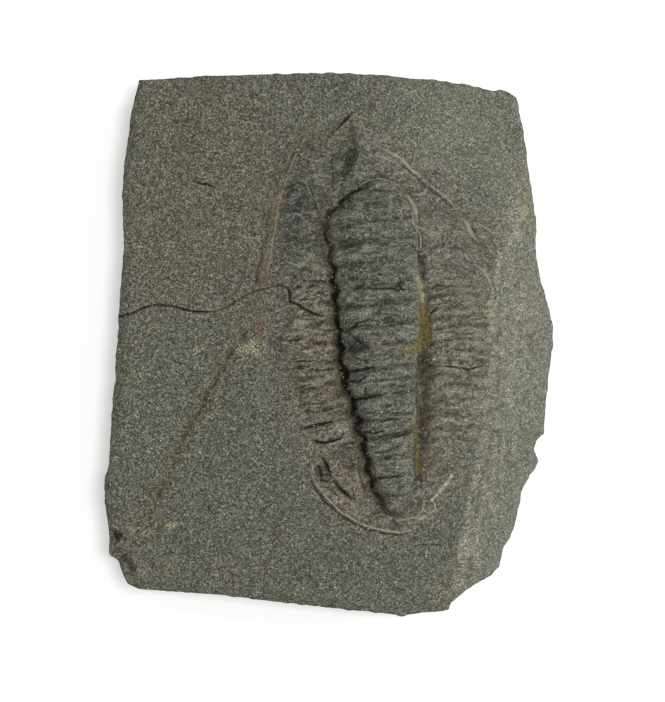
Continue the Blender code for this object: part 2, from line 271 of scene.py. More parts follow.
@dataclass(frozen=True)
class Patch:
    """A soft-edged oval on the stone, mm: a stain, a hollow or a swelling. Turn is in degrees."""

    middle: Point
    radii: Point
    stain: Stain | None = None
    amount: float = 0.0
    turn: float = 0.0
    height: float = 0.0
    firm: float = 1.0

    def cover(self, x: Grid, y: Grid) -> tuple[Grid, Grid]:
        """Says how much of the patch lies at the points near it.

        Args:
            x, y: the points, mm.

        Returns:
            Which points are near, and their cover, 0 to 1.
        """
        near = np.hypot(x - self.middle[0], y - self.middle[1]) < 1.6 * max(self.radii)
        x, y = x[near], y[near]
        angle = math.radians(self.turn)
        dx, dy = x - self.middle[0], y - self.middle[1]
        along = (dx * math.cos(angle) + dy * math.sin(angle)) / self.radii[0]
        across = (dy * math.cos(angle) - dx * math.sin(angle)) / self.radii[1]
        edge = 0.25 * lumps(x, y, min(self.radii) * 0.8, 73)
        return near, smooth_step((1.25 - np.hypot(along, across) + edge) * self.firm)

    def press(self, z: Grid, x: Grid, y: Grid) -> None:
        """Adds the patch's own height to z, in place."""
        near, cover = self.cover(x, y)
        z[near] += cover * self.height

    def colour(self, masks: dict[Stain, Grid], x: Grid, y: Grid) -> None:
        """Adds the patch's stain to its mask, in place."""
        if self.stain is not None:
            near, cover = self.cover(x, y)
            masks[self.stain][near] += self.amount * cover


@dataclass(frozen=True)
class Facet:
    """A fresh flat break with straight sides, mm: corners anticlockwise round a convex shape.

    Tilt is how much it falls towards its left side.
    """

    corners: Points
    stain: Stain
    amount: float
    height: float = 0.0
    tilt: float = 0.0
    softness: float = 0.3

    def cover(self, x: Grid, y: Grid) -> tuple[Grid, Grid]:
        """Says how much of the facet lies at each point.

        Args:
            x, y: the points, mm.

        Returns:
            The cover, 0 to 1, and the place across it, 0 at its left side and 1 at its right.
        """
        corners = np.array(self.corners)
        depth = np.full(x.shape, FAR)
        for (ax, ay), (bx, by) in zip(corners, np.roll(corners, -1, axis=0)):
            length = math.hypot(bx - ax, by - ay)
            depth = np.minimum(depth, ((y - ay) * (bx - ax) - (x - ax) * (by - ay)) / length)
        depth = depth + 0.16 * lumps(x, y, 0.5, 75)
        left, right = corners[:, 0].min(), corners[:, 0].max()
        return smooth_step(0.5 + depth / self.softness), np.clip((x - left) / (right - left), 0.0, 1.0)

    def press(self, z: Grid, x: Grid, y: Grid) -> None:
        """Adds the facet's own height to z, in place."""
        cover, across = self.cover(x, y)
        z += cover * (self.height - self.tilt * (1.0 - across))

    def colour(self, masks: dict[Stain, Grid], x: Grid, y: Grid) -> None:
        """Adds the facet's stain to its mask, in place."""
        cover, _ = self.cover(x, y)
        masks[self.stain] += self.amount * cover


@dataclass(frozen=True)
class Crack:
    """A thin jagged crack, a thin painted shadow line, or a thin thread of pale shell, mm.

    The mesh carries its shallow cut, or ridge where the depth is below nought. Its line is drawn by the
    finish from the distance, counted in half widths, that is kept on the points.
    """

    points: Points
    depth: float
    half_width: float
    ink: float
    step: float = 0.4
    jag: float = 0.07
    pale: bool = False

    def gap(self, x: Grid, y: Grid) -> tuple[Grid, Grid, Grid]:
        """Measures the distance from the crack near it.

        Args:
            x, y: the points, mm.

        Returns:
            Which points are near, their distance, and the distance with a minus sign on the left.
        """
        length = float(np.hypot(*np.diff(np.array(self.points), axis=0).T).sum())
        steps = max(int(length / self.step), 3)
        path = at_share(self.points, np.linspace(0.0, 1.0, steps + 1))
        first_x, first_y = self.points[0]
        draw = np.random.default_rng(int(900 + 97 * abs(first_x) + 31 * abs(first_y)))
        path[1:-1] += draw.uniform(-self.jag, self.jag, (steps - 1, 2))
        low, high = path.min(0) - 1.0, path.max(0) + 1.0
        near = (x > low[0]) & (x < high[0]) & (y > low[1]) & (y < high[1])
        distance, signed = distance_to(path, x[near], y[near])
        return near, distance, signed

    def press(self, z: Grid, x: Grid, y: Grid) -> None:
        """Adds the crack's cut to z, in place."""
        near, distance, _ = self.gap(x, y)
        z[near] -= self.depth * np.exp(-(distance / max(self.half_width, 0.09)) ** 2)

    def colour(self, masks: dict[Stain, Grid], x: Grid, y: Grid) -> None:
        """Keeps the line's distance and ink where no other line is stronger, in place."""
        near, distance, signed = self.gap(x, y)
        px, py = x[near], y[near]
        gaps, inks = Stain.CRACK_GAP, Stain.CRACK_AND_SHADOW_INK
        if self.pale:
            gaps, inks = Stain.THREAD_GAP, Stain.THREAD_PALE
        ink = self.ink * smooth_step((0.5 - distance) / 0.3) * (0.85 + 0.5 * lumps(px, py, 0.6, 76))
        stronger = ink > masks[inks][near]
        ends = [np.hypot(px - end[0], py - end[1]) for end in (self.points[0], self.points[-1])]
        taper = 0.4 + 0.6 * smooth_step(np.minimum(*ends) / 1.0) + 0.25 * lumps(px, py, 0.7, 79)
        share = np.clip(signed / self.half_width / taper, -FAR, FAR)
        masks[inks][near] = np.where(stronger, ink, masks[inks][near])
        masks[gaps][near] = np.where(stronger, share, masks[gaps][near])


def unpacked(rows: Iterable[tuple]) -> list[tuple]:
    """Parts each row into its three numbers and its points."""
    return [(*row[:3], row[3:]) for row in rows]


def cracks(*rows: tuple) -> tuple[Crack, ...]:
    """Draws dark cracks, and some thin painted shadow lines: each row is depth, half width, ink and then the
    points, mm.
    """
    return tuple(Crack(points, *look) for *look, points in unpacked(rows))


def threads(*rows: tuple) -> tuple[Crack, ...]:
    """Draws raised threads of pale shell: each row is height, width, ink and then the points, mm."""
    return tuple(
        Crack(points, -0.5 * height, 0.5 * width, pale + 0.2, 0.5, 0.06, True)
        for height, width, pale, points in unpacked(rows)
    )


def streaks(stain: Stain, *rows: tuple) -> tuple[Line, ...]:
    """Draws stained lines: each row is amount, half width, height and then the points, mm."""
    return tuple(
        Line(points, height, half_width, stain, amount)
        for amount, half_width, height, points in unpacked(rows)
    )


def ovals(stain: Stain | None, *rows: tuple) -> tuple[Patch, ...]:
    """Lays patches: each row is x, y, two radii, amount and perhaps turn, height and firmness."""
    return tuple(Patch(row[:2], row[2:4], stain, *row[4:]) for row in rows)


@dataclass(frozen=True)
class AxialLobe:
    """The ringed lobe down the middle, from the glabella to the tail's tip, mm.

    Stations are y, left edge, right edge and height. Rings and creases are y at the lobe's middle and
    depth of the grooves between the rings and of the small ones on them.
    """

    stations: tuple[tuple[float, float, float, float], ...] = (
        (15.1, 4.3, 4.7, 0.0), (14.4, 3.1, 6.0, 0.75), (13.2, 1.4, 7.3, 1.3), (11.6, 0.1, 7.9, 1.65),
        (10.2, -0.25, 8.1, 1.75), (7.0, 0.4, 8.15, 1.95), (3.0, 0.75, 8.4, 2.2), (-0.5, 1.15, 8.15, 2.3),
        (-3.5, 1.6, 7.95, 2.25), (-6.5, 2.6, 7.95, 2.1), (-9.5, 3.3, 7.8, 1.85), (-12.5, 3.95, 7.6, 1.45),
        (-14.0, 4.5, 7.25, 1.1), (-15.1, 5.2, 6.7, 0.55), (-15.6, 5.7, 6.3, 0.0),
    )
    rings: Points = (
        (12.7, 0.06), (11.0, 0.1), (9.2, 0.08), (7.3, 0.12), (5.3, 0.22), (3.7, 0.14), (1.8, 0.2),
        (0.0, 0.12), (-2.15, 0.3), (-4.65, 0.32), (-6.5, 0.22), (-8.25, 0.32), (-10.2, 0.22), (-11.9, 0.28),
        (-13.6, 0.12),
    )
    creases: Points = (
        (6.3, 0.08), (4.5, 0.1), (2.8, 0.1), (0.9, 0.1), (-1.1, 0.1), (-3.3, 0.16), (-5.5, 0.12),
        (-7.4, 0.08), (-9.3, 0.1), (-11.1, 0.08), (-12.8, 0.08),
    )
    tilt: float = 0.13
    groove_width: float = 0.15
    crown: float = 0.3
    scallop: float = 0.34
    wrinkle: float = 0.07
    left_bulge: float = 3.0
    right_bulge: float = 2.4
    slot: Points = (
        (9.2, 0.0), (8.4, 0.1), (6.8, 0.12), (2.6, 0.13), (1.0, 0.2), (-2.3, 0.22), (-5.8, 0.19),
        (-8.9, 0.16), (-10.2, 0.13), (-12.8, 0.07), (-14.9, 0.02), (-15.1, 0.0),
    )
    slot_depth: float = 0.6
    left_furrow: Point = (0.75, 0.45)
    right_furrow: Point = (0.35, 0.7)
    lines: Marks = streaks(Stain.DARK,
        # The first two rows paint the shadow in the cut round the glabella's front.
        (1, 0.12, -0.5, (0.3, 12), (0.56, 12.3), (1, 12.75), (1.55, 13.25), (2.2, 13.65), (2.8, 13.95)),
        (0.25, 0.07, -0.12, (2.8, 13.95), (3.3, 14.12), (3.9, 14.15)),
        (0.95, 0.12, -0.25, (5.9, 5.05), (6.1, 5.3), (6.4, 5)),
        (0.55, 0.13, 0, (5, 10.45), (5.5, 10.3), (6.1, 10.4)),
    ) + cracks(
        (0.12, 0.07, 0.4, (3.9, 13.85), (4.9, 13.75), (6, 13.7)),
        (0.2, 0.1, 1, (0.8, 1.55), (1.2, 1.1), (1.7, 1.15), (2.1, 1.55), (2.55, 1.9), (3.8, 2.15)),
        (0.2, 0.07, 0.9, (1.5, 1.2), (2, 0.7), (2.6, 0.3), (3.3, -0.35)),
        (0.2, 0.09, 0.8, (1.3, 0.3), (1.7, 0.1), (2, -0.3), (2.4, -0.5)),
        (0.2, 0.13, 1, (1.65, -2.4), (2.4, -2.35), (3.1, -2.25), (3.9, -2)),
        (0.2, 0.15, 1, (1.8, -3.3), (2.55, -3.35), (3.1, -3)),
        (0.2, 0.1, 1, (2, -5.05), (3.1, -4.9), (3.8, -4.65), (5, -4.4)),
        (0.1, 0.07, 0.25, (5, -4.4), (6.1, -4.3), (7.6, -4.1)),
        (0.2, 0.06, 0.9, (3.17, -4), (3.26, -4.85)),
        (0.2, 0.15, 0.85, (3.2, -7.9), (4, -7.95), (4.7, -7.8)),
        (0.15, 0.06, 0.55, (4.7, -8.55), (5.6, -8.4), (6.3, -8.2), (7.2, -8)),
        (0.2, 0.07, 0.6, (4, -9.7), (4.9, -9.8), (5.4, -9.5)),
        (0.15, 0.06, 0.6, (4.2, -12), (5.25, -12), (6.4, -11.75)),
        (0.2, 0.09, 0.7, (3.1, 4.95), (4.5, 5), (5.9, 4.9), (6.7, 4.9)),
        (0.12, 0.07, 0.55, (2.8, 5.8), (3.6, 5.85), (4.3, 5.7)),
        (0.15, 0.09, 0.6, (2.7, -5.9), (3.4, -6.2), (4, -6.1)),
        (0.2, 0.08, 0.7, (3.9, -11), (4.1, -11.6), (4, -12.4)),
        (0.15, 0.07, 0.7, (2.4, -1.2), (3, -1.5), (3.6, -1.3)),
        (0.12, 0.07, 0.45, (4.6, -6.9), (5.3, -6.75), (6.2, -6.7)),
        (0.1, 0.07, 0.4, (1, 8), (2, 8.25), (3.2, 8.1), (4.4, 8.2)),
        (0.1, 0.07, 0.45, (2, 3.3), (3.2, 3.45), (4.6, 3.3)),
    ) + streaks(Stain.RUST,
        (0.55, 0.32, 0, (0, 8.6), (0.1, 7.2), (0.15, 5.8), (0.3, 4.2)),
        (0.5, 0.34, 0, (0.5, 1), (0.5, -1), (0.9, -3.4), (1.6, -5.6), (2.3, -7.6), (2.6, -9.4),
         (3, -11.6), (3.5, -13)),
        (0.35, 0.3, 0, (3.6, -11), (3.9, -12.2), (4.4, -13.4), (5, -14.2)),
    ) + threads(
        (0.05, 0.13, 0.1, (0.6, 10.6), (1.8, 10.85), (3.1, 10.55), (4, 10.6)),
        (0.06, 0.09, 0.3, (2.5, 6.4), (3.2, 7.2)),
        (0.05, 0.13, 0.2, (2.4, -3.75), (4.1, -3.5), (5.9, -3.3)),
        (0.05, 0.13, 0.22, (3.4, -6.75), (5.2, -6.5), (7.1, -6.4)),
    ) + streaks(Stain.PINK,
        (0.5, 0.35, 0, (4.6, 5.4), (6, 5.25), (7, 5.1)),
        (0.3, 0.3, 0, (1.5, 12.2), (2.2, 12.9), (3.2, 13.3)),
    )
    patches: Marks = ovals(Stain.RUST,
        (0.45, 9.95, 0.6, 0.85, 0.3, 0, 0.25),
    ) + ovals(Stain.DARK,
        (2.35, -0.1, 0.9, 0.75, 0.35, 0, -0.3, 1.6), (1.9, -0.6, 0.45, 0.3, 0.4, 0, -0.2, 1.6),
        (4.6, -13.9, 1.2, 0.9, 0.3, 30, -0.1),
    ) + ovals(Stain.PALE,
        (4.15, 0, 0.75, 0.35, 0.32, 0, 0.08),
    ) + ovals(Stain.SLATE,
        (5.6, -9.6, 1.4, 0.9, 0.2), (4.5, 9, 3.2, 1.2, 0.16),
    ) + ovals(Stain.PINK,
        (6.4, 4.7, 1.6, 0.45, 0.35, 4), (2.2, 7.5, 1, 1.6, 0.2),
    ) + ovals(Stain.OLIVE,
        (6.6, -0.4, 1, 0.4, 0.4, 15),
    )

    def frame(self, x: Grid, y: Grid) -> tuple[Grid, Grid, Grid, Grid]:
        """Finds each point's place on the lobe.

        Args:
            x, y: the points, mm.

        Returns:
            The place across (-1 left edge, 1 right edge), the lobe's height there, and its two edges.
        """
        stations = rounded(self.stations)[::-1]
        left = np.interp(y, stations[:, 0], stations[:, 1])
        right = np.interp(y, stations[:, 0], stations[:, 2])
        height = np.interp(y, stations[:, 0], stations[:, 3], left=0.0, right=0.0)
        bulge = self.ring_swell(y - self.tilt * (x - (left + right) / 2))
        rough = 0.1 * lumps(x, y, 1.1, 74) + 0.08 * lumps(x, y, 0.4, 77)
        left = left + (0.5 - bulge) * self.scallop * np.clip(height - 0.6, 0.0, 1.0) + rough
        right = right + rough
        return (2 * x - left - right) / (right - left), height, left, right

    def ring_swell(self, station: Grid) -> Grid:
        """Gives 1 on the middle of each ring and 0 in the grooves between."""
        places = np.array([place for place, _ in self.rings])[::-1]
        gap = np.interp(station, places, np.arange(len(places)))
        return np.sin(np.pi * (gap - np.floor(gap)))

    def height(self, x: Grid, y: Grid) -> Grid:
        """Works out the lobe and its two furrows.

        Args:
            x, y: the points, mm.

        Returns:
            The height over the split face, mm.
        """
        across, height, left, right = self.frame(x, y)
        power = np.where(across < 0.0, self.left_bulge, self.right_bulge)
        inside = np.clip(1.0 - np.abs(across) ** power, 0.0, 1.0)
        station = y - self.tilt * (x - (left + right) / 2)
        uneven = 0.9 - 0.35 * np.clip(across, -1.0, 1.0)
        grooves = np.zeros(x.shape)
        for number, (place, depth) in enumerate(self.rings + self.creases):
            row = np.full(x.shape, float(number))
            bend = 0.2 * lumps(x, row * 3.0, 1.8, 22) + 0.07 * lumps(x, row, 0.5, 48)
            fade = np.clip(0.6 + 1.6 * lumps(x, row * 3.0, 1.2, 21), 0.05, 1.8)
            grooves += depth * fade * np.exp(-((station - place - bend) / self.groove_width) ** 2)
        swell = self.crown * self.ring_swell(station)
        creases = self.wrinkle * (lumps(x * 0.3, station, 0.24, 43) + lumps(x, y, 0.45, 44))
        creases += 0.12 * lumps(x * 0.35, station, 0.8, 81) * smooth_step((y - 1.0) / 4.0)
        body = smooth_step(inside * 2.5) * np.clip(height, 0.0, 1.0)
        steep = 0.5 + 0.35 * smooth_step((y - 8.0) / 3.0)
        relief = height * inside**steep + body * (swell + creases - uneven * grooves)
        return relief - self.furrows(x, y, height, left, right) - self.slot_depth * self.in_slot(x, y)

    def furrows(self, x: Grid, y: Grid, height: Grid, left: Grid, right: Grid) -> Grid:
        """Works out the depth of the furrows beside the lobe.

        Args:
            x, y: the points, mm.
            height: the lobe's height there.
            left: the lobe's left edge there.
            right: the lobe's right edge there.

        Returns:
            The depth, mm.
        """
        body = np.clip(height / 1.2, 0.0, 1.0)
        left_depth, left_width = self.left_furrow
        right_depth, right_width = self.right_furrow
        deep = np.exp(-(np.clip(left - x, -0.2, None) / left_width) ** 2) * (x < left + 0.2)
        shallow = np.exp(-(np.clip(x - right, -0.2, None) / right_width) ** 2) * (x > right - 0.2)
        back = (0.15 + 0.85 * smooth_step((9.5 - y) / 3.0)) * (0.4 + 0.6 * smooth_step((y + 14.0) / 3.5))
        beside = (0.3 + 0.7 * smooth_step((5.0 - y) / 3.0)) * (0.35 + 0.65 * smooth_step((y + 12.5) / 3.0))
        return body * (left_depth * deep * back + right_depth * shallow * beside)

    def in_slot(self, x: Grid, y: Grid) -> Grid:
        """Says how far each point lies in the slot along the lobe's left edge, which is cut in and painted
        dark as shadow.

        Args:
            x, y: the points, mm.

        Returns:
            0 outside to 1 in the middle of the slot.
        """
        _, _, left, _ = self.frame(x, y)
        stations = np.array(self.slot)[::-1]
        half = np.interp(y, stations[:, 0], stations[:, 1], left=0.0, right=0.0)
        half = half * (1.05 + 0.55 * lumps(x * 0.0, y, 0.5, 83) + 0.45 * lumps(x, y, 0.25, 84))
        side = x - left + 0.14 + 0.09 * lumps(x * 0.0, y, 0.45, 85)
        return np.exp(-(side / np.clip(half, 0.03, None)) ** 4) * smooth_step(half / 0.05)

    def skin(self, x: Grid, y: Grid) -> Grid:
        """Says where the smoother skin of the mould is, 0 to 1."""
        across, height, _, _ = self.frame(x, y)
        return smooth_step((1.0 - np.abs(across)) * 6.0) * np.clip(height * 2.0, 0.0, 1.0)


@dataclass(frozen=True)
class Flank:
    """The ribs between a furrow and the outer edge of one side of the thorax, mm.

    Edge is y and x of the outer edge. Grooves are y and depth beside the furrow.
    """

    left_side: bool
    edge: Points
    ends: Point
    grooves: Points
    rise: float
    crown: float
    swell: float = 0.35
    groove_width: float = 0.15
    groove_gain: float = 1.0
    wrinkle: float = 0.09
    arch: float = 0.0

    def height(self, x: Grid, y: Grid, lobe: AxialLobe) -> Grid:
        """Works out the ribs.

        Args:
            x, y: the points, mm.
            lobe: the lobe that they start beside.

        Returns:
            The height over the split face, mm.
        """
        _, _, left, right = lobe.frame(x, y)
        inner = left if self.left_side else right
        stations = np.array(self.edge)[::-1]
        station = y - self.rise * (x - inner)
        outer = np.interp(y, stations[:, 0], stations[:, 1]) + 0.35 * lumps(x * 0.0, station, 0.7, 23)
        share = (x - inner) / (outer - inner)
        station = station - self.arch * np.sin(np.pi * np.clip(share, 0.0, 1.0))
        inside = smooth_step(share * 6.0) * smooth_step((1.0 - share) * 6.0)
        front, back = self.ends
        inside = inside * smooth_step((front - y) / 0.8) * smooth_step((y - back) / 1.2)
        grooves = np.zeros(x.shape)
        for number, (place, depth) in enumerate(self.grooves):
            row = np.full(x.shape, float(number))
            bend = 0.3 * lumps(x, row * 2.0, 2.0, 24) + 0.08 * lumps(x, row, 0.5, 49)
            uneven = np.clip(0.35 + 1.9 * lumps(x, row * 2.0, 0.9, 25), 0.0, 1.8)
            grooves += depth * uneven * np.exp(-((station - place - bend) / self.groove_width) ** 2)
        places = np.array([place for place, _ in self.grooves])[::-1]
        gap = np.interp(station, places, np.arange(len(places)))
        crown = self.crown * np.sin(np.pi * (gap - np.floor(gap)))
        swell = self.swell * np.sin(np.pi * np.clip(share, 0.0, 1.0))
        creases = self.wrinkle * (lumps(x * 0.3, station, 0.24, 45) + lumps(x, y, 0.4, 46))
        return inside * (crown + creases - self.groove_gain * grooves + swell)


LEFT_FLANK = Flank(
    left_side=True,
    edge=((6.8, -3.4), (3.0, -3.6), (0.0, -3.6), (-3.9, -3.0), (-7.3, -2.1), (-10.0, -1.0)),
    ends=(6.8, -10.0),
    grooves=(
        (6.7, 0.1), (5.75, 0.2), (4.9, 0.1), (4.0, 0.14), (3.1, 0.1), (2.2, 0.2), (1.3, 0.12), (0.45, 0.26),
        (-0.55, 0.12), (-1.45, 0.28), (-2.4, 0.12), (-3.4, 0.24), (-4.35, 0.12), (-5.2, 0.2), (-6.2, 0.1),
        (-7.1, 0.3), (-7.9, 0.1), (-8.6, 0.3), (-9.5, 0.14),
    ),
    rise=0.18,
    crown=0.13,
)
RIGHT_FLANK = Flank(
    left_side=False,
    edge=((6.5, 15.2), (3.0, 15.15), (-1.0, 14.8), (-5.5, 14.4), (-9.6, 13.6)),
    ends=(5.4, -9.4),
    grooves=(
        (4.9, 0.12), (4.0, 0.18), (2.95, 0.14), (2.0, 0.2), (1.15, 0.2), (-0.05, 0.16), (-1.15, 0.14),
        (-2.05, 0.2), (-3.2, 0.14), (-4.3, 0.2), (-5.45, 0.14), (-6.8, 0.18), (-7.9, 0.14), (-9.0, 0.1),
    ),
    rise=0.04,
    crown=0.19,
    groove_gain=0.65,
    groove_width=0.13,
    arch=0.4,
)


# The dark slits, threads of shell, stains and filled furrow beside the lobe, mm.
FLANK_LINES: Marks = cracks(
    (0.2, 0.1, 0.9, (-3.05, -1.55), (-2.3, -1.5), (-1.65, -1.5)),
    (0.2, 0.1, 0.9, (-3.7, 0.3), (-3.05, 0.38), (-2.5, 0.55)),
    (0.3, 0.13, 1, (-2.15, -7.55), (-1.5, -7.35), (-0.8, -7.2), (0.15, -7)),
    (0.3, 0.13, 1, (-1.35, -8.7), (-0.5, -8.8), (0.2, -8.65), (1, -8.45)),
    (0.2, 0.07, 0.7, (-3.05, -3.95), (-2.4, -3.8), (-1.75, -3.6)),
    (0.2, 0.07, 0.6, (-2.7, 5.8), (-1.6, 5.7), (-0.35, 5.7)),
    (0.2, 0.07, 0.8, (-0.9, 1.3), (0.1, 1.25), (0.8, 1.3)),
    (0.2, 0.07, 0.6, (-1.9, -5.4), (-1.1, -5.35), (-0.3, -5.1)),
    (0.12, 0.07, 0.5, (-3.3, 4), (-2.2, 4.1), (-1.3, 4)),
    (0.12, 0.07, 0.5, (-2.6, 2.25), (-1.7, 2.2), (-0.9, 2.35)),
    (0.12, 0.07, 0.55, (-1.5, -2.3), (-0.6, -2.4), (0.4, -2.2)),
    (0.12, 0.07, 0.5, (-2, -6.1), (-1, -6.05), (0.3, -5.8)),
    (0.2, 0.07, 1, (10.3, -1.97), (11.1, -2), (11.7, -2.1), (12.45, -2.22), (13, -2.13), (13.6, -2)),
    (0.2, 0.07, 0.7, (9.9, 3.7), (9.55, 3.25), (9.1, 2.9), (8.95, 2.35)),
    (0.15, 0.07, 0.35, (14.6, 5.5), (14.95, 4.8), (14.87, 4.15)),
    (0.15, 0.07, 0.5, (9.2, 5), (9.7, 5.35), (10.5, 5.2)),
    (0.1, 0.07, 0.4, (9.4, 1), (10.6, 1.1), (12, 0.9), (13.2, 1.1)),
    (0.1, 0.07, 0.35, (9.3, -0.4), (10.2, -0.2), (11.4, -0.45)),
) + threads(
    (0.1, 0.16, 0.3, (9.6, -7.2), (10.9, -6.8), (12, -7.2), (13.2, -6.85), (13.6, -7.4)),
    (0.08, 0.12, 0.15, (8.8, -4.2), (10.4, -4.3), (11.9, -4.15)),
    (0.1, 0.14, 0.25, (9.3, 4.4), (10.4, 4.95), (11.8, 5.1), (13.2, 4.7)),
    (0.1, 0.14, 0.2, (9.5, 2.5), (11, 2.9), (12.6, 2.7), (14, 2.2)),
    (0.1, 0.14, 0.2, (9.6, 0.4), (11, 0.9), (12.8, 0.7), (14, 0.1)),
    (0.1, 0.14, 0.2, (9.4, -0.9), (10.8, -0.5), (12.4, -0.8), (13.8, -1.2)),
) + streaks(Stain.DARK,
    (0.55, 0.24, -0.1, (8.15, 7.7), (8.45, 6.9), (8.4, 6)),
    (0.14, 0.4, -0.06, (8.45, -1), (8.6, -2.5), (8.5, -4.3), (8.4, -6.5), (8.45, -9)),
    (0.4, 0.3, 0, (8.3, -1.2), (8.9, -1.5), (9.3, -2.2), (9.2, -3)),
    (0.6, 0.16, 0, (8, -1.7), (8.5, -1.6), (9, -1.85), (9.9, -2)),
) + streaks(Stain.PALE,
    (0.95, 0.22, 0, (8.05, 5.8), (8.15, 4.9), (8.4, 4)),
    (0.3, 0.3, 0.1, (-3.2, 1.7), (-2.4, 1.9), (-1.7, 2.2)),
) + streaks(Stain.OLIVE,
    (0.9, 0.34, 0, (8.1, 5.2), (8.4, 4), (8.5, 3), (8.5, 2)),
    (1, 0.42, 0, (8.5, 2.6), (8.6, 1.7), (8.5, 0.8), (8.2, -0.1), (7.8, -0.6), (7, -0.6)),
    (0.32, 0.2, 0, (7.95, -4.6), (7.85, -6), (7.8, -7.6)),
    (0.75, 0.17, 0, (7.8, -7.8), (7.85, -9), (7.95, -10.4), (7.95, -11.6)),
    (0.35, 0.3, 0, (-0.2, 3), (0.2, 2.5), (0.35, 1.9)),
) + streaks(Stain.RUST,
    (0.55, 0.32, 0, (8.8, 3.2), (9, 1.7), (8.9, 0.2), (8.6, -1)),
    (0.34, 0.85, 0, (8.7, -1.2), (8.9, -2.5), (8.8, -4.3), (8.7, -6.1), (8.7, -7.9), (8.7, -9.7),
     (8.6, -11.2)),
    (0.55, 0.35, 0, (9.7, 4.8), (11.5, 4.85), (13, 4.6)),
    (0.4, 0.3, 0, (9.6, 2.4), (10.8, 2.5), (12.4, 2.2)),
    (0.35, 0.4, 0, (9.6, -3.2), (11, -3.1), (12.6, -3.3)),
    (0.4, 0.25, 0.08, (-3.9, 1), (-3.2, 1.15), (-2.6, 1.4)),
    (0.35, 0.25, 0.08, (-3.7, -0.9), (-3, -0.75), (-2.4, -0.5)),
)


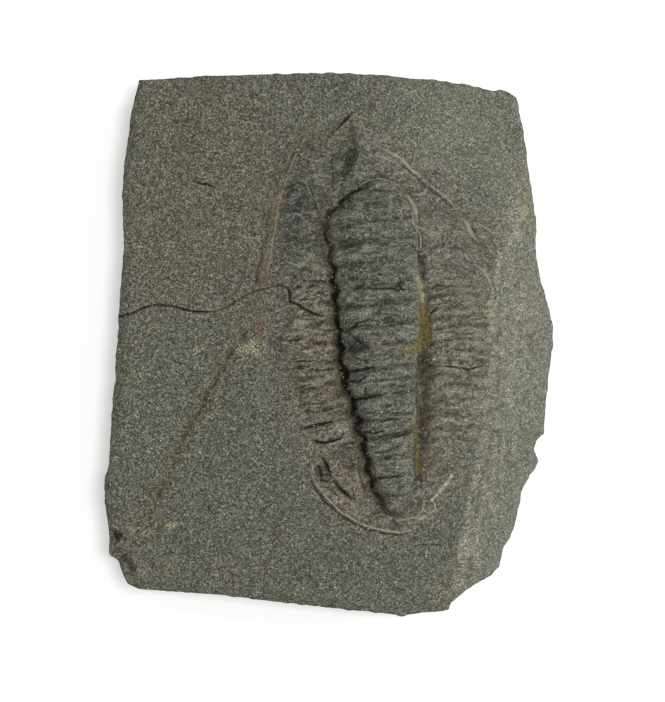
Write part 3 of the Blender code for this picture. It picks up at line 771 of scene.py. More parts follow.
@dataclass(frozen=True)
class HeadShield:
    """The head's borders, cheeks and the step in the stone in front of it, mm."""

    ridge: Points = ((1.0, 13.6), (1.9, 15.4), (2.5, 17.0), (2.4, 18.8), (1.8, 20.8), (1.3, 24.6))
    step: float = 0.55
    step_width: float = 0.8
    border_left: Points = ((-1.9, 19.6), (-3.6, 16.9), (-4.3, 15.0), (-5.0, 11.8), (-5.5, 8.6), (-6.1, 5.1))
    cheek_sunk: float = 0.35
    cheek_ends: Point = (20.5, 6.0)
    cheek_inner: float = 2.6
    lines: Marks = (
        Line(((-1.9, 19.6), (-2.7, 18.5), (-3.4, 17.2), (-3.9, 16), (-4.4, 14.8), (-4.9, 12.6)), 0.09, 0.4,
         Stain.RUST, 0.35, 0.6, 0.9),
        Line(((-4.85, 12.6), (-5.15, 11), (-5.4, 9.2), (-5.75, 7.4), (-6.1, 5.3)), 0.07, 0.4, Stain.RUST,
         0.15, 0.7, 0.9),
        Line(((12.6, 11.2), (13.3, 10.4), (13.9, 9.55), (14.35, 8.8)), 0.32, 0.42, Stain.RUST, 0.45, 0.9),
    ) + threads(
        (0.04, 0.08, 0.26, (-1.75, 19.3), (-3.1, 17), (-4, 14.6), (-4.6, 12.4)),
        (0.04, 0.09, 0.3, (-4.6, 12.4), (-4.95, 10.6), (-5.2, 8.8), (-5.5, 7)),
        (0.12, 0.17, 0.62, (4.4, 17.75), (5.1, 17.4), (5.8, 17), (6.6, 16.5), (7.3, 15.85), (8.1, 15)),
        (0.1, 0.13, 0.45, (8.1, 15), (9, 14.35), (9.9, 13.7), (10.6, 13.1), (11, 12.7), (11.6, 11.9)),
        (0.25, 0.3, 0.75, (12, 11.3), (12.2, 10.9), (12.65, 10.15), (13.3, 9.3)),
        (0.1, 0.13, 0.3, (4.2, 17), (5.2, 16.6), (6.1, 16.2)),
        (0.15, 0.2, 0.5, (13.5, 10.8), (14.2, 10.4), (14.9, 9.9)),
        (0.15, 0.22, 0.65, (13.1, 9.9), (13.7, 9.6), (14.1, 9.7)),
        (0.14, 0.1, 0.5, (12, 8.2), (12.65, 7.4)),
        (0.2, 0.17, 0.45, (13, 7.2), (13.7, 6.7), (14.25, 5.95), (14.7, 5.05)),
        (0.08, 0.08, 0.7, (9.9, 10), (9.75, 9.5), (9.45, 9.2)),
        (0.12, 0.11, 0.5, (10.65, 8.5), (10.75, 7.95), (10.3, 7.6), (9.55, 7.5)),
        (0.1, 0.1, 0.55, (7.4, 11.8), (7.5, 11.3), (7.6, 10.75), (8, 10.4), (8.5, 10.55)),
        (0.14, 0.1, 0.6, (2.7, 14.3), (3.3, 14.6), (4, 14.85), (4.7, 14.92), (5.6, 14.6), (6.3, 14.2),
         (7, 13.6)),
        (0.15, 0.32, 0.65, (7, 13.4), (7.4, 12.8), (7.75, 12.1), (7.9, 11.2)),
        (0.06, 0.09, 0.5, (8.1, 10.2), (8.2, 9.2), (8.15, 8.2)),
        (0.04, 0.08, 0.3, (4.2, 14.4), (5.2, 14.3), (6.1, 13.9)),
        (0.05, 0.1, 0.3, (1.9, 20.3), (1.2, 19.7), (0.5, 18.9), (-0.3, 18.1)),
        (0.08, 0.16, 0.4, (-2.2, 14.6), (-1.9, 13.9), (-1.5, 13.2)),
        (0.06, 0.12, 0.25, (-1, 17.2), (-0.8, 16.2), (-0.9, 15.2)),
    ) + cracks(
        # The second row is a thin painted shadow line under the right border's ridge, and the fifth a painted
        # shadow line at the step in front of the head; the rest are cracks.
        (0.06, 0.07, 0.5, (-2.3, 18.9), (-3.3, 17), (-4.1, 15.2)),
        (0.08, 0.045, 0.5, (6.2, 16.3), (6.9, 15.8), (8, 14.75), (9.6, 13.45), (10.8, 12.45)),
        (0.2, 0.09, 0.95, (7.45, 8.85), (7.65, 8.45), (8.03, 8.15), (8.08, 7.4)),
        (0.2, 0.1, 1, (-0.43, 10.4), (-0.52, 9.9), (-0.48, 9.55), (-0.07, 9)),
        (0.2, 0.07, 0.8, (2.1, 20.9), (1.35, 20.1), (0.65, 19.35)),
        (0.12, 0.07, 0.35, (-1.9, 14.2), (-1.3, 12.8), (-0.9, 11.4)),
        (0.1, 0.07, 0.3, (0.2, 17.6), (0.1, 16.2), (0.3, 14.6)),
    ) + streaks(Stain.DARK,
        # Painted shadow: on the outer side of the left border, beside the step in front of the head, and down
        # the glabella's left flank.
        (0.15, 0.16, -0.08, (-5.4, 12.2), (-5.75, 9.8), (-6.2, 7.6), (-6.6, 5.6)),
        (0.25, 0.3, -0.12, (1.6, 20.3), (1, 19.9), (0.2, 19.2)),
        (0.5, 0.25, -0.25, (0, 12), (-0.4, 11.2), (-0.6, 10.4)),
    ) + streaks(Stain.RUST,
        (0.42, 0.5, 0, (-1.9, 19), (-3.3, 17), (-4.3, 14.6), (-5, 12), (-5.5, 9), (-6, 6),
         (-6.2, 4.2)),
        (0.35, 0.5, 0, (-6.6, 3.9), (-6.3, 2.4), (-6.5, 1)),
        (0.55, 0.22, 0, (8.8, 11.8), (9.1, 11.2), (8.75, 10.5)),
        (0.2, 0.3, 0.15, (2, 20.1), (1.1, 19.3), (0.3, 18.4), (-0.5, 17.7)),
    ) + streaks(Stain.OLIVE,
        (0.2, 0.35, 0, (6.4, 13.95), (7.1, 13.3), (7.6, 12.5), (7.9, 11.9)),
    )
    patches: Marks = (
        Facet(((0.3, 15), (1.4, 15), (2.6, 17), (2.2, 18.7), (1, 18), (0, 16.6)), Stain.SLATE,
         0.6, -0.04, 0.1, 1.2),
        Facet(((1.4, 16.3), (2.7, 16.5), (2.45, 17.7), (1.7, 17.5)), Stain.SLATE, 0.25, -0.02, 0.03, 0.9),
        Facet(((0.3, 18), (1.4, 18.3), (2.1, 20.6), (1.2, 19.9), (0.2, 18.8)), Stain.PINK, 0.5, 0.08, 0.08),
        Facet(((-3.9, 9.2), (-2, 9.4), (-1.5, 12.4), (-2.6, 15.2), (-3.9, 14.2), (-4.3, 12)), Stain.SLATE,
         0.4, -0.06, 0.16, 0.9),
        Facet(((-3.6, 10.6), (-2.2, 10.8), (-2, 12.4), (-2.9, 13), (-3.7, 12.2)), Stain.SLATE, 0.35,
         -0.03, 0.05, 0.8),
    ) + ovals(Stain.DARKER_TONE_AND_PAINTED_SHADE,
        # The first two ovals paint shade in the sunk left cheek and on the break in front of the head; the
        # third darkens the right cheek.
        (-1.9, 12.6, 3.4, 6, 0.8, -12), (2, 17, 2.6, 3, 0.3, 10), (11, 10, 3, 4, 0.14),
    ) + ovals(Stain.SLATE,
        (-0.2, 15.2, 0.7, 1.2, 0.3, 25, -0.05), (-3.6, 9, 0.8, 1.6, 0.3, -10, -0.05),
        (9.6, 12.2, 1.5, 2.2, 0.22, 30, -0.12),
    ) + ovals(Stain.RUST,
        (-0.8, 11.1, 0.8, 1.5, 0.45, -20), (-5.85, 6.2, 0.7, 1.3, 0.6, -10, 0.1),
        (11.2, 12.4, 0.8, 1, 0.25, -45), (13.6, 10, 1, 0.9, 0.35, -40, 0.15),
    ) + ovals(Stain.DARK,
        (-0.7, 10.6, 0.7, 1.2, 0.3, -20),
    ) + ovals(Stain.PINK,
        (-0.3, 13.8, 1.2, 1.2, 0.35), (0.6, 18.4, 0.7, 0.9, 0.4, 30), (6.6, 15.6, 1.6, 0.7, 0.2, -30),
    ) + ovals(Stain.WARM,
        (-6.2, 4.6, 0.9, 0.7, 0.8, 20),
    ) + ovals(None,
        (10, 8, 0.8, 0.9, 0, 0, 0.2, 1.5),
    )

    def height(self, x: Grid, y: Grid) -> Grid:
        """Works out the step in front of the head and the sunk left cheek.

        Args:
            x, y: the points, mm.

        Returns:
            The height over the split face, mm.
        """
        _, past_ridge = distance_to(rounded(self.ridge), x, y)
        ahead = smooth_step((y - self.ridge[0][1]) / 2.5) * smooth_step((14.0 - x) / 9.0)
        step = self.step * smooth_step(0.6 + past_ridge / self.step_width) * ahead
        step = step * (1.0 - 0.7 * smooth_step((y - 18.8) / 3.0))
        _, past_border = distance_to(rounded(self.border_left)[::-1], x, y)
        front, back = self.cheek_ends
        cheek = smooth_step(past_border) * smooth_step((y - back) / 3.0) * smooth_step((front - y) / 2.5)
        return step - self.cheek_sunk * cheek * smooth_step((self.cheek_inner - x) / 1.5)


@dataclass(frozen=True)
class TailShield:
    """The tail's sunk field and its border, mm."""

    middle: Point = (5.0, -11.6)
    radii: Point = (5.6, 4.9)
    sunk: float = 0.28
    beads: Points = ((10.95, -11.85), (10.5, -12.45), (10.0, -12.95), (9.65, -13.55), (9.1, -14.05))
    lines: Marks = threads(
        (0.18, 0.13, 0.6, (-1.5, -12), (-0.9, -12.9), (-0.25, -13.85), (0.55, -14.7), (1.6, -15.5),
         (2.7, -16.1)),
        (0.16, 0.14, 0.55, (2.7, -16.1), (3.8, -16.5), (5.05, -16.8), (6.3, -16.95), (7.3, -16.7)),
        (0.2, 0.4, 0.75, (10.95, -11.9), (10.5, -12.5), (10, -12.95), (9.65, -13.55), (9.1, -14)),
        (0.15, 0.2, 0.7, (6.6, -15.8), (7.3, -15.55), (8.1, -15.7), (8.85, -15.35), (9.3, -14.9)),
        (0.14, 0.17, 0.75, (9.1, -14), (8.5, -14.2), (8.35, -14.8), (8.85, -15.2)),
        (0.14, 0.17, 0.75, (9.1, -14), (9.5, -14.45), (9.5, -14.95), (8.85, -15.2)),
        (0.15, 0.3, 0.3, (-1.6, -10.9), (-1.5, -11.6), (-1.3, -12.3)),
    ) + streaks(Stain.PINK,
        (0.75, 0.7, 0, (1.2, -14.9), (2.6, -15.6), (4.2, -16.1), (5.8, -16.3)),
    ) + streaks(Stain.DARK,
        (0.25, 0.12, 0, (0.2, -14.3), (1.4, -15.3), (2.8, -15.9)),
        (0.45, 0.22, 0, (5.8, -15.9), (6.2, -16.3), (6.7, -16.2)),
        (0.5, 0.1, -0.12, (12.75, -13.4), (12.95, -13.8), (12.8, -14.3)),
    ) + streaks(Stain.RUST,
        (0.4, 0.3, 0, (6.4, -15.2), (7.4, -15.1), (8.1, -14.6)),
    ) + cracks(
        (0.3, 0.13, 1, (0.3, -12.35), (1, -13.05), (1.45, -13.5), (2.1, -13.95)),
        (0.3, 0.15, 1, (-0.6, -10.35), (-0.35, -10.9), (0, -11.5)),
        (0.2, 0.13, 0.95, (-1.05, -10.95), (-0.7, -11.5), (-0.88, -12.1), (-0.25, -12.35)),
        (0.2, 0.13, 0.95, (-0.3, -11.7), (0.3, -12), (0.7, -12.6)),
        (0.2, 0.07, 0.7, (-1.3, -11.3), (-0.6, -11.9), (0.1, -11.8)),
        (0.2, 0.07, 0.5, (-0.3, -12.9), (0.3, -13.1), (0.6, -13.6)),
        (0.2, 0.07, 0.4, (2.6, -11.4), (2.8, -12.4), (3.2, -13.2)),
        (0.12, 0.07, 0.45, (8, -11.6), (8.25, -12.2), (8.2, -13)),
        (0.08, 0.07, 0.35, (8, -18.05), (9, -18), (10, -18.05)),
        (0.12, 0.08, 0.6, (-1.7, -12.4), (-0.5, -14.1), (1.2, -15.6), (3.2, -16.6), (5.2, -17.1),
         (6.6, -17.2)),
    )
    patches: Marks = ovals(Stain.WARM,
        (0.75, -13.7, 0.8, 0.55, 0.5, -35, 0.18, 1.6),
    ) + ovals(Stain.DARK,
        (-0.6, -11.4, 0.8, 0.9, 0.45, 0, -0.1),
    ) + ovals(Stain.PINK,
        (0.3, -10.8, 1.4, 1, 0.3), (1.8, -12.3, 1.2, 1.5, 0.3),
    ) + ovals(Stain.PALE,
        (8.9, -14.6, 0.35, 0.35, 0.25, 0, -0.05, 2),
    ) + ovals(Stain.SLATE,
        (7.2, -15.9, 0.7, 0.5, 0.35), (9.6, -17.3, 1.6, 0.7, 0.25, -15, -0.06),
    )

    def height(self, x: Grid, y: Grid) -> Grid:
        """Gives the depth of the sunk field as a height, mm."""
        out = np.hypot((x - self.middle[0]) / self.radii[0], (y - self.middle[1]) / self.radii[1])
        return -self.sunk * smooth_step((1.05 - out) * 3.0)


DIAGONAL: Points = (
    (-7.0, 1.4), (-8.8, -0.7), (-11.2, -5.2), (-13.1, -8.6), (-15.1, -13.1), (-16.2, -15.6),
)


@dataclass(frozen=True)
class SplitFace:
    """The matrix around the fossil, and the slope broken off its right side, mm.

    Flecks are the places where pale mineral flecks crowd: x, y, two radii and how crowded.
    """

    level: float = 8.0
    swells: tuple[tuple[float, float, int], ...] = (
        (9.0, 0.22, 11), (3.1, 0.1, 12), (1.25, 0.05, 13), (0.55, 0.03, 14), (0.3, 0.022, 15),
    )
    slope_edge: Points = (
        (10.9, -24.6), (11.2, -22.6), (11.9, -19.5), (12.4, -16.3), (13.1, -13.0), (13.9, -9.1),
        (14.6, -5.5), (14.8, -1.0), (15.1, 3.1), (15.2, 6.5), (15.6, 8.7), (16.6, 10.5), (17.2, 13.9),
        (17.9, 18.0),
    )
    slope_fall: float = 0.52
    slope_rounding: float = 0.2
    rim_rounding: float = 0.45
    rim_drop: float = 0.5
    pits: int = 36
    lines: Marks = (
        Crack(((-19.6, 2.25), (-19, 2.4), (-17.4, 3), (-15.3, 3.72), (-14.6, 3.48), (-12.4, 3),
         (-11, 2.9)), 0.3, 0.075, 1, 0.9, 0.06),
        Crack(((-11, 2.9), (-9.7, 3.15), (-8.8, 3.65), (-7.8, 4.25), (-6.6, 4.85), (-5.6, 5.1), (-4.5, 5.3),
         (-3.85, 5.05)), 0.1, 0.045, 0.5, 0.7, 0.07),
        Crack(DIAGONAL[:4], 0.05, 0.06, 0.34, 0.9, 0.2),
        Crack(DIAGONAL[3:], 0.04, 0.05, 0.18, 0.9, 0.2),
    ) + cracks(
        (0.3, 0.14, 1, (-3.85, 5.05), (-3.53, 4.7), (-3.62, 4.35), (-3.58, 3.9)),
        (0.3, 0.1, 1, (-3.58, 3.9), (-2.7, 3.5), (-2.05, 2.95), (-1.4, 2.7), (-0.6, 2.55)),
        (0.2, 0.11, 1, (-19.5, -16.8), (-19, -17.4), (-19.3, -17.9)),
        (0.2, 0.09, 1, (-18.9, -16.9), (-18.5, -17.5)),
        (0.2, 0.1, 1, (-11.86, 14.56), (-11.3, 14.4), (-10.9, 14.4), (-10.3, 14.15)),
    ) + streaks(Stain.DARKER_TONE_AND_PAINTED_SHADE,
        # The first two rows paint shade in the diagonal groove; the third is a darker streak down the slope.
        (0.34, 0.5, -0.08, *DIAGONAL[:4]),
        (0.16, 0.5, -0.05, *DIAGONAL[3:]),
        (0.4, 0.25, -0.1, (15.6, 7), (15.3, 3), (15.2, -2), (14.9, -6), (14.3, -9.6), (13.5, -13.2),
         (12.8, -16.4)),
    ) + streaks(Stain.WARM,
        (0.8, 1.1, 0, *DIAGONAL),
        (0.4, 0.8, 0, (-16.8, -14.6), (-17.6, -16.6), (-18.8, -18.6)),
    ) + streaks(Stain.RUST,
        (0.09, 0.6, 0, *DIAGONAL),
        (0.38, 0.35, 0, (-9.7, 3.2), (-8, 4.2), (-6.2, 5.1), (-5, 5.6)),
    ) + streaks(Stain.DARK,
        (0.2, 0.1, -0.08, (15.2, -7.7), (15.25, -10), (15.2, -14)),
    ) + streaks(Stain.LIGHT,
        # The first two rows paint a highlight along the top edge of the broken slope; the third makes the
        # slope paler in a streak.
        (0.7, 0.24, 0.08, (15.3, 8), (14.7, 4), (14.5, -1), (14.2, -5.5), (13.6, -9), (12.8, -13),
         (12.1, -16.3), (11.5, -19.5)),
        (0.4, 0.3, 0, (14.9, 3), (14.7, -3), (14.6, -9)),
        (0.3, 0.5, 0, (16.3, 9), (16.6, 4), (16.5, -2), (16, -8)),
    )
    patches: Marks = ovals(Stain.WARM,
        (-11.5, 13, 7, 9.5, 0.7, 0, 0, 0.9),
    ) + ovals(Stain.COOL,
        (-12, -9, 7.5, 10, 0.8, 0, 0, 0.9), (3, -20, 7, 3.5, 0.4),
        (16.9, -8, 2.2, 8.5, 0.2, -8),
    ) + ovals(Stain.LIGHT,
        # Painted light, with paler stone: the top right, the upper slope and the right of the fossil are made
        # lighter.
        (11.5, 19.5, 6, 5, 0.3, 0, 0, 0.8), (15.8, 14.5, 2.2, 6, 0.3, 8),
        (12.5, -2.5, 2.2, 7, 0.1), (11, -6.9, 1.5, 0.8, 0.2),
    ) + ovals(Stain.OLIVE,
        (17.6, 12.6, 0.7, 3, 0.32, 5), (-7.2, -0.3, 1.3, 0.6, 0.12, 15),
        (-6.6, 0.3, 0.5, 0.3, 0.3, 15),
    ) + ovals(Stain.PALE,
        (17.4, 11.9, 0.6, 0.7, 0.35), (18.2, 2.5, 0.9, 3.4, 0.16), (17.1, 2.45, 0.25, 0.2, 0.7),
        (-7.2, -0.3, 1.4, 0.75, 0.2, 15), (14.3, 3.7, 0.36, 0.26, 0.6, 20, 0.3, 1.5),
        (14.5, 2.6, 0.36, 0.26, 0.65, -10, 0.3, 1.5), (14.4, 1.5, 0.36, 0.24, 0.55, 15, 0.28, 1.5),
        (14.2, 0.4, 0.36, 0.24, 0.5, -15, 0.25, 1.5), (-13.9, -16.3, 1, 0.4, 0.2),
        (-17.8, -16.6, 0.6, 0.35, 0.2, 0, 0.1), (-1.1, 6.9, 0.8, 0.6, 0.26, 0, 0.25),
        (14.2, 2.6, 0.7, 1.8, 0.14, 0, 0.05),
    ) + ovals(Stain.DARKER_TONE_AND_PAINTED_SHADE,
        # The first oval paints shade in the hollow over the step in front of the head; the others darken the
        # stone.
        (0.5, 22.6, 1.8, 1.4, 0.3), (5.2, 12.4, 2.4, 0.9, 0.35, -8), (5, 8.9, 3.4, 0.5, 0.4),
        (3, -19.5, 9, 4, 0.12),
    ) + ovals(Stain.RUST,
        (-11.3, 23, 1, 0.4, 0.4), (12.8, -7.3, 0.55, 0.45, 0.6), (14.45, 2.15, 0.3, 0.2, 0.4),
    ) + ovals(Stain.DARK,
        (-19.15, -17.3, 0.6, 0.5, 0.8, 0, -0.2), (-19, -18.5, 0.4, 0.25, 0.6, 20),
        (-18.2, -19.1, 0.3, 0.2, 0.5),
    ) + ovals(None,
        (-18.6, -20.3, 1.6, 1, 0, -50, -0.5, 1.2),
    ) + ovals(Stain.SLATE,
        (2.9, -4.6, 6.5, 1.2, 0.24, -77), (3.6, 6.5, 2.6, 1.2, 0.22),
    ) + ovals(Stain.PINK,
        (-1.3, -2.5, 2.4, 7.5, 0.75, 6), (1.2, -12.4, 2.6, 3.4, 0.7, 20),
        (11.3, -1.5, 2.8, 6.5, 0.3, 4), (10.2, -6.5, 2.2, 3.4, 0.15), (9.8, -9.5, 2.4, 3.2, 0.15),
    )
    flecks: Marks = tuple(
        Patch((x, y), (wide, tall), Stain.FLECK, crowd, 12.0) for x, y, wide, tall, crowd in (
            (-7.2, -0.3, 1.5, 0.8, 1), (-6.4, -1, 0.5, 0.3, 0.8), (-12.1, -0.5, 0.4, 0.35, 0.8),
            (-14.2, -16.3, 0.9, 0.35, 1), (-16.6, -16.8, 0.5, 0.3, 0.7), (-10.5, -6.4, 0.5, 0.3, 0.8),
            (-17.1, -2.2, 0.5, 0.2, 0.6), (-13.2, -2.8, 0.5, 0.2, 0.6), (-15.5, -9.7, 0.3, 0.4, 0.6),
            (-19.2, -10.4, 0.3, 0.3, 0.7), (-17.1, -14.9, 0.3, 0.3, 0.6), (18.6, -3.2, 0.25, 0.3, 0.6),
            (18.5, 0.8, 0.3, 0.7, 0.5), (17.1, 2.4, 0.2, 0.25, 1), (17.4, 11.9, 0.5, 0.8, 0.5),
            (10.4, 18.6, 0.6, 0.4, 0.5), (-12.9, 19.5, 0.6, 0.3, 0.3), (14.4, 2, 0.35, 2, 0.35),
        )
    )

    def height(self, x: Grid, y: Grid, rim: Grid) -> Grid:
        """Works out the split face and the broken slope.

        Args:
            x, y: the points, mm.
            rim: how far the points are from the outline, mm.

        Returns:
            The height over the ground, mm.
        """
        z = np.full(x.shape, self.level)
        for size, height, seed in self.swells:
            z += height * lumps(x, y, size, seed)
        _, past = distance_to(rounded(self.slope_edge), x, y)
        past = past + 0.2 * lumps(x, y, 2.2, 26) + 0.1 * lumps(x, y, 0.8, 27)
        z -= self.slope_fall * 0.5 * (past + np.hypot(past, self.slope_rounding))
        z += smooth_step(past) * (0.07 * lumps(x, y * 0.3, 0.7, 28) + 0.03 * lumps(x, y * 0.4, 0.35, 29))
        chip = np.clip(0.85 + 0.6 * lumps(x, y, 2.3, 31) + 0.3 * lumps(x, y, 0.9, 32), 0.35, None)
        z -= self.rim_drop * chip * np.exp(-(rim / (self.rim_rounding * chip)) ** 2)
        return z

    def past_slope(self, x: Grid, y: Grid) -> Grid:
        """Says where the broken slope is, 0 to 1."""
        _, past = distance_to(rounded(self.slope_edge), x, y)
        return smooth_step(0.5 + past / 0.35)

    def mottles(self) -> tuple[Patch, ...]:
        """Scatters small tints, drawn out across, over the lobe, the flanks, the tail and the cheeks.

        Returns:
            The patches.
        """
        draw = np.random.default_rng(52)
        tints = (
            Stain.SLATE, Stain.PALE, Stain.PINK, Stain.DARKER_TONE_AND_PAINTED_SHADE, Stain.LIGHT, Stain.WARM, Stain.SLATE,
            Stain.DARK,
        )
        strengths = (0.35, 0.16, 0.5, 0.5, 0.35, 0.8, 0.5, 0.22)
        fields = (
            ((1.0, 7.8), (-14.0, 13.5), 130), ((-3.2, 1.5), (-9.5, 6.5), 70), ((8.6, 14.8), (-9.5, 5.5), 90),
            ((-1.0, 9.5), (-16.5, -10.0), 50), ((-4.5, 0.0), (7.0, 18.0), 50), ((7.5, 14.5), (5.5, 14.0), 45),
        )
        marks = []
        for (left, right), (low, high), count in fields:
            for _ in range(count):
                place = (float(draw.uniform(left, right)), float(draw.uniform(low, high)))
                radii = (float(draw.uniform(0.3, 1.0)), float(draw.uniform(0.12, 0.35)))
                pick = int(draw.integers(len(tints)))
                amount = strengths[pick] * float(draw.uniform(0.5, 1.2))
                marks.append(Patch(place, radii, tints[pick], amount, float(draw.normal(4.0, 14.0))))
                if pick in (0, 3):
                    marks.append(self.hairline(place, draw))
        return tuple(marks)

    def hairline(self, place: Point, draw: np.random.Generator) -> Crack:
        """Draws one short thread of shell or dark hairline.

        Args:
            place: its left end, mm.
            draw: the random numbers.

        Returns:
            The line.
        """
        length, turn = float(draw.uniform(0.4, 1.2)), float(draw.normal(0.1, 0.35))
        bow = float(draw.normal(0.0, 0.15))
        dx, dy = length * math.cos(turn), length * math.sin(turn)
        middle = (place[0] + dx / 2 - bow * dy, place[1] + dy / 2 + bow * dx)
        points = (place, middle, (place[0] + dx, place[1] + dy))
        pale = bool(draw.uniform() < 0.6)
        width, ink = float(draw.uniform(0.035, 0.075)), float(draw.uniform(0.45, 0.95))
        return Crack(points, -0.04 if pale else 0.05, width, ink if pale else 0.6 * ink, 0.3, 0.06, pale)

    def pit_marks(self) -> tuple[Patch, ...]:
        """Scatters small dark pits over the split face.

        Returns:
            The pits.
        """
        draw = np.random.default_rng(41)
        marks = []
        for _ in range(self.pits):
            place = (float(draw.uniform(-18.5, 15.0)), float(draw.uniform(-22.0, 23.0)))
            size = float(draw.uniform(0.1, 0.2))
            turn = float(draw.uniform(0, 180))
            marks.append(Patch(place, (size * 1.3, size * 0.8), Stain.DARK, 0.25, turn, -0.05, 2.0))
        return tuple(marks)


@dataclass(frozen=True)
class Outline:
    """The slab's edge seen from above, mm, each side from left to right or bottom to top."""

    top: Points = (
        (-17.2, 23.8), (-15.3, 24.0), (-11.7, 24.2), (-6.3, 24.4), (0.0, 24.55), (4.5, 24.3), (8.1, 24.0),
        (10.8, 23.7), (13.5, 23.2), (14.9, 22.8), (15.3, 23.0), (16.4, 22.7), (16.9, 22.3),
    )
    right: Points = (
        (10.7, -24.0), (10.9, -23.5), (11.5, -23.0), (12.3, -22.3), (13.3, -21.7), (14.7, -20.9),
        (15.4, -20.2), (15.8, -18.5), (16.3, -17.6), (16.8, -16.5), (17.1, -15.5), (17.5, -13.3),
        (18.2, -11.9), (18.8, -11.3), (19.0, -10.6), (18.6, -9.6), (18.8, -8.7), (19.5, -8.1), (19.6, -6.1),
        (19.8, -4.7), (20.0, -2.3), (20.35, -0.1), (20.3, 1.7), (19.7, 4.0), (19.2, 5.8), (18.7, 7.8),
        (18.7, 11.6), (18.1, 15.0), (17.7, 18.1), (17.2, 20.6), (16.9, 22.3),
    )
    bottom: Points = (
        (-18.2, -21.6), (-17.3, -22.1), (-15.3, -22.3), (-11.7, -22.5), (-8.1, -22.8), (-5.4, -23.2),
        (0.0, -23.8), (3.2, -24.1), (5.0, -24.4), (6.8, -24.55), (8.1, -24.3), (9.9, -24.1), (10.7, -24.0),
    )
    left: Points = (
        (-18.2, -21.6), (-18.7, -20.9), (-19.1, -19.6), (-19.9, -19.0), (-20.0, -16.7), (-20.35, -14.0),
        (-20.3, -12.2), (-20.0, -10.6), (-19.8, -7.3), (-19.4, -2.8), (-19.2, 0.4), (-19.0, 4.0),
        (-18.6, 9.4), (-18.8, 13.4), (-18.6, 15.5), (-18.0, 20.6), (-17.5, 22.6), (-17.2, 23.8),
    )
    roughness: float = 0.07

    def grid(self, u: Grid, v: Grid) -> Grid:
        """Fills the outline with a grid of points.

        Args:
            u: shares across, from left to right.
            v: shares along, from bottom to top.

        Returns:
            The points' x and y, mm.
        """
        bottom = at_share(self.bottom, u)[:, None, :]
        top = at_share(self.top, u)[:, None, :]
        left = at_share(self.left, v)[None, :, :]
        right = at_share(self.right, v)[None, :, :]
        uu = u[:, None, None]
        vv = v[None, :, None]
        sides = (1 - vv) * bottom + vv * top + (1 - uu) * left + uu * right
        corners = (1 - uu) * (1 - vv) * bottom[0, 0] + uu * (1 - vv) * bottom[-1, 0]
        grid = sides - corners - (1 - uu) * vv * top[0, 0] - uu * vv * top[-1, 0]
        middle = grid.reshape(-1, 2).mean(0)
        edge = np.clip(np.minimum(np.minimum(uu, 1 - uu), np.minimum(vv, 1 - vv)) / 0.02, 0.0, 1.0)
        x, y = grid[..., 0], grid[..., 1]
        nick = lumps(x, y, 0.8, 33) + 0.6 * lumps(x, y, 0.35, 34)
        inward = (middle - grid) / np.linalg.norm(middle - grid, axis=-1, keepdims=True)
        return grid + inward * (1.0 - edge) * self.roughness * (1.0 + nick)[..., None]


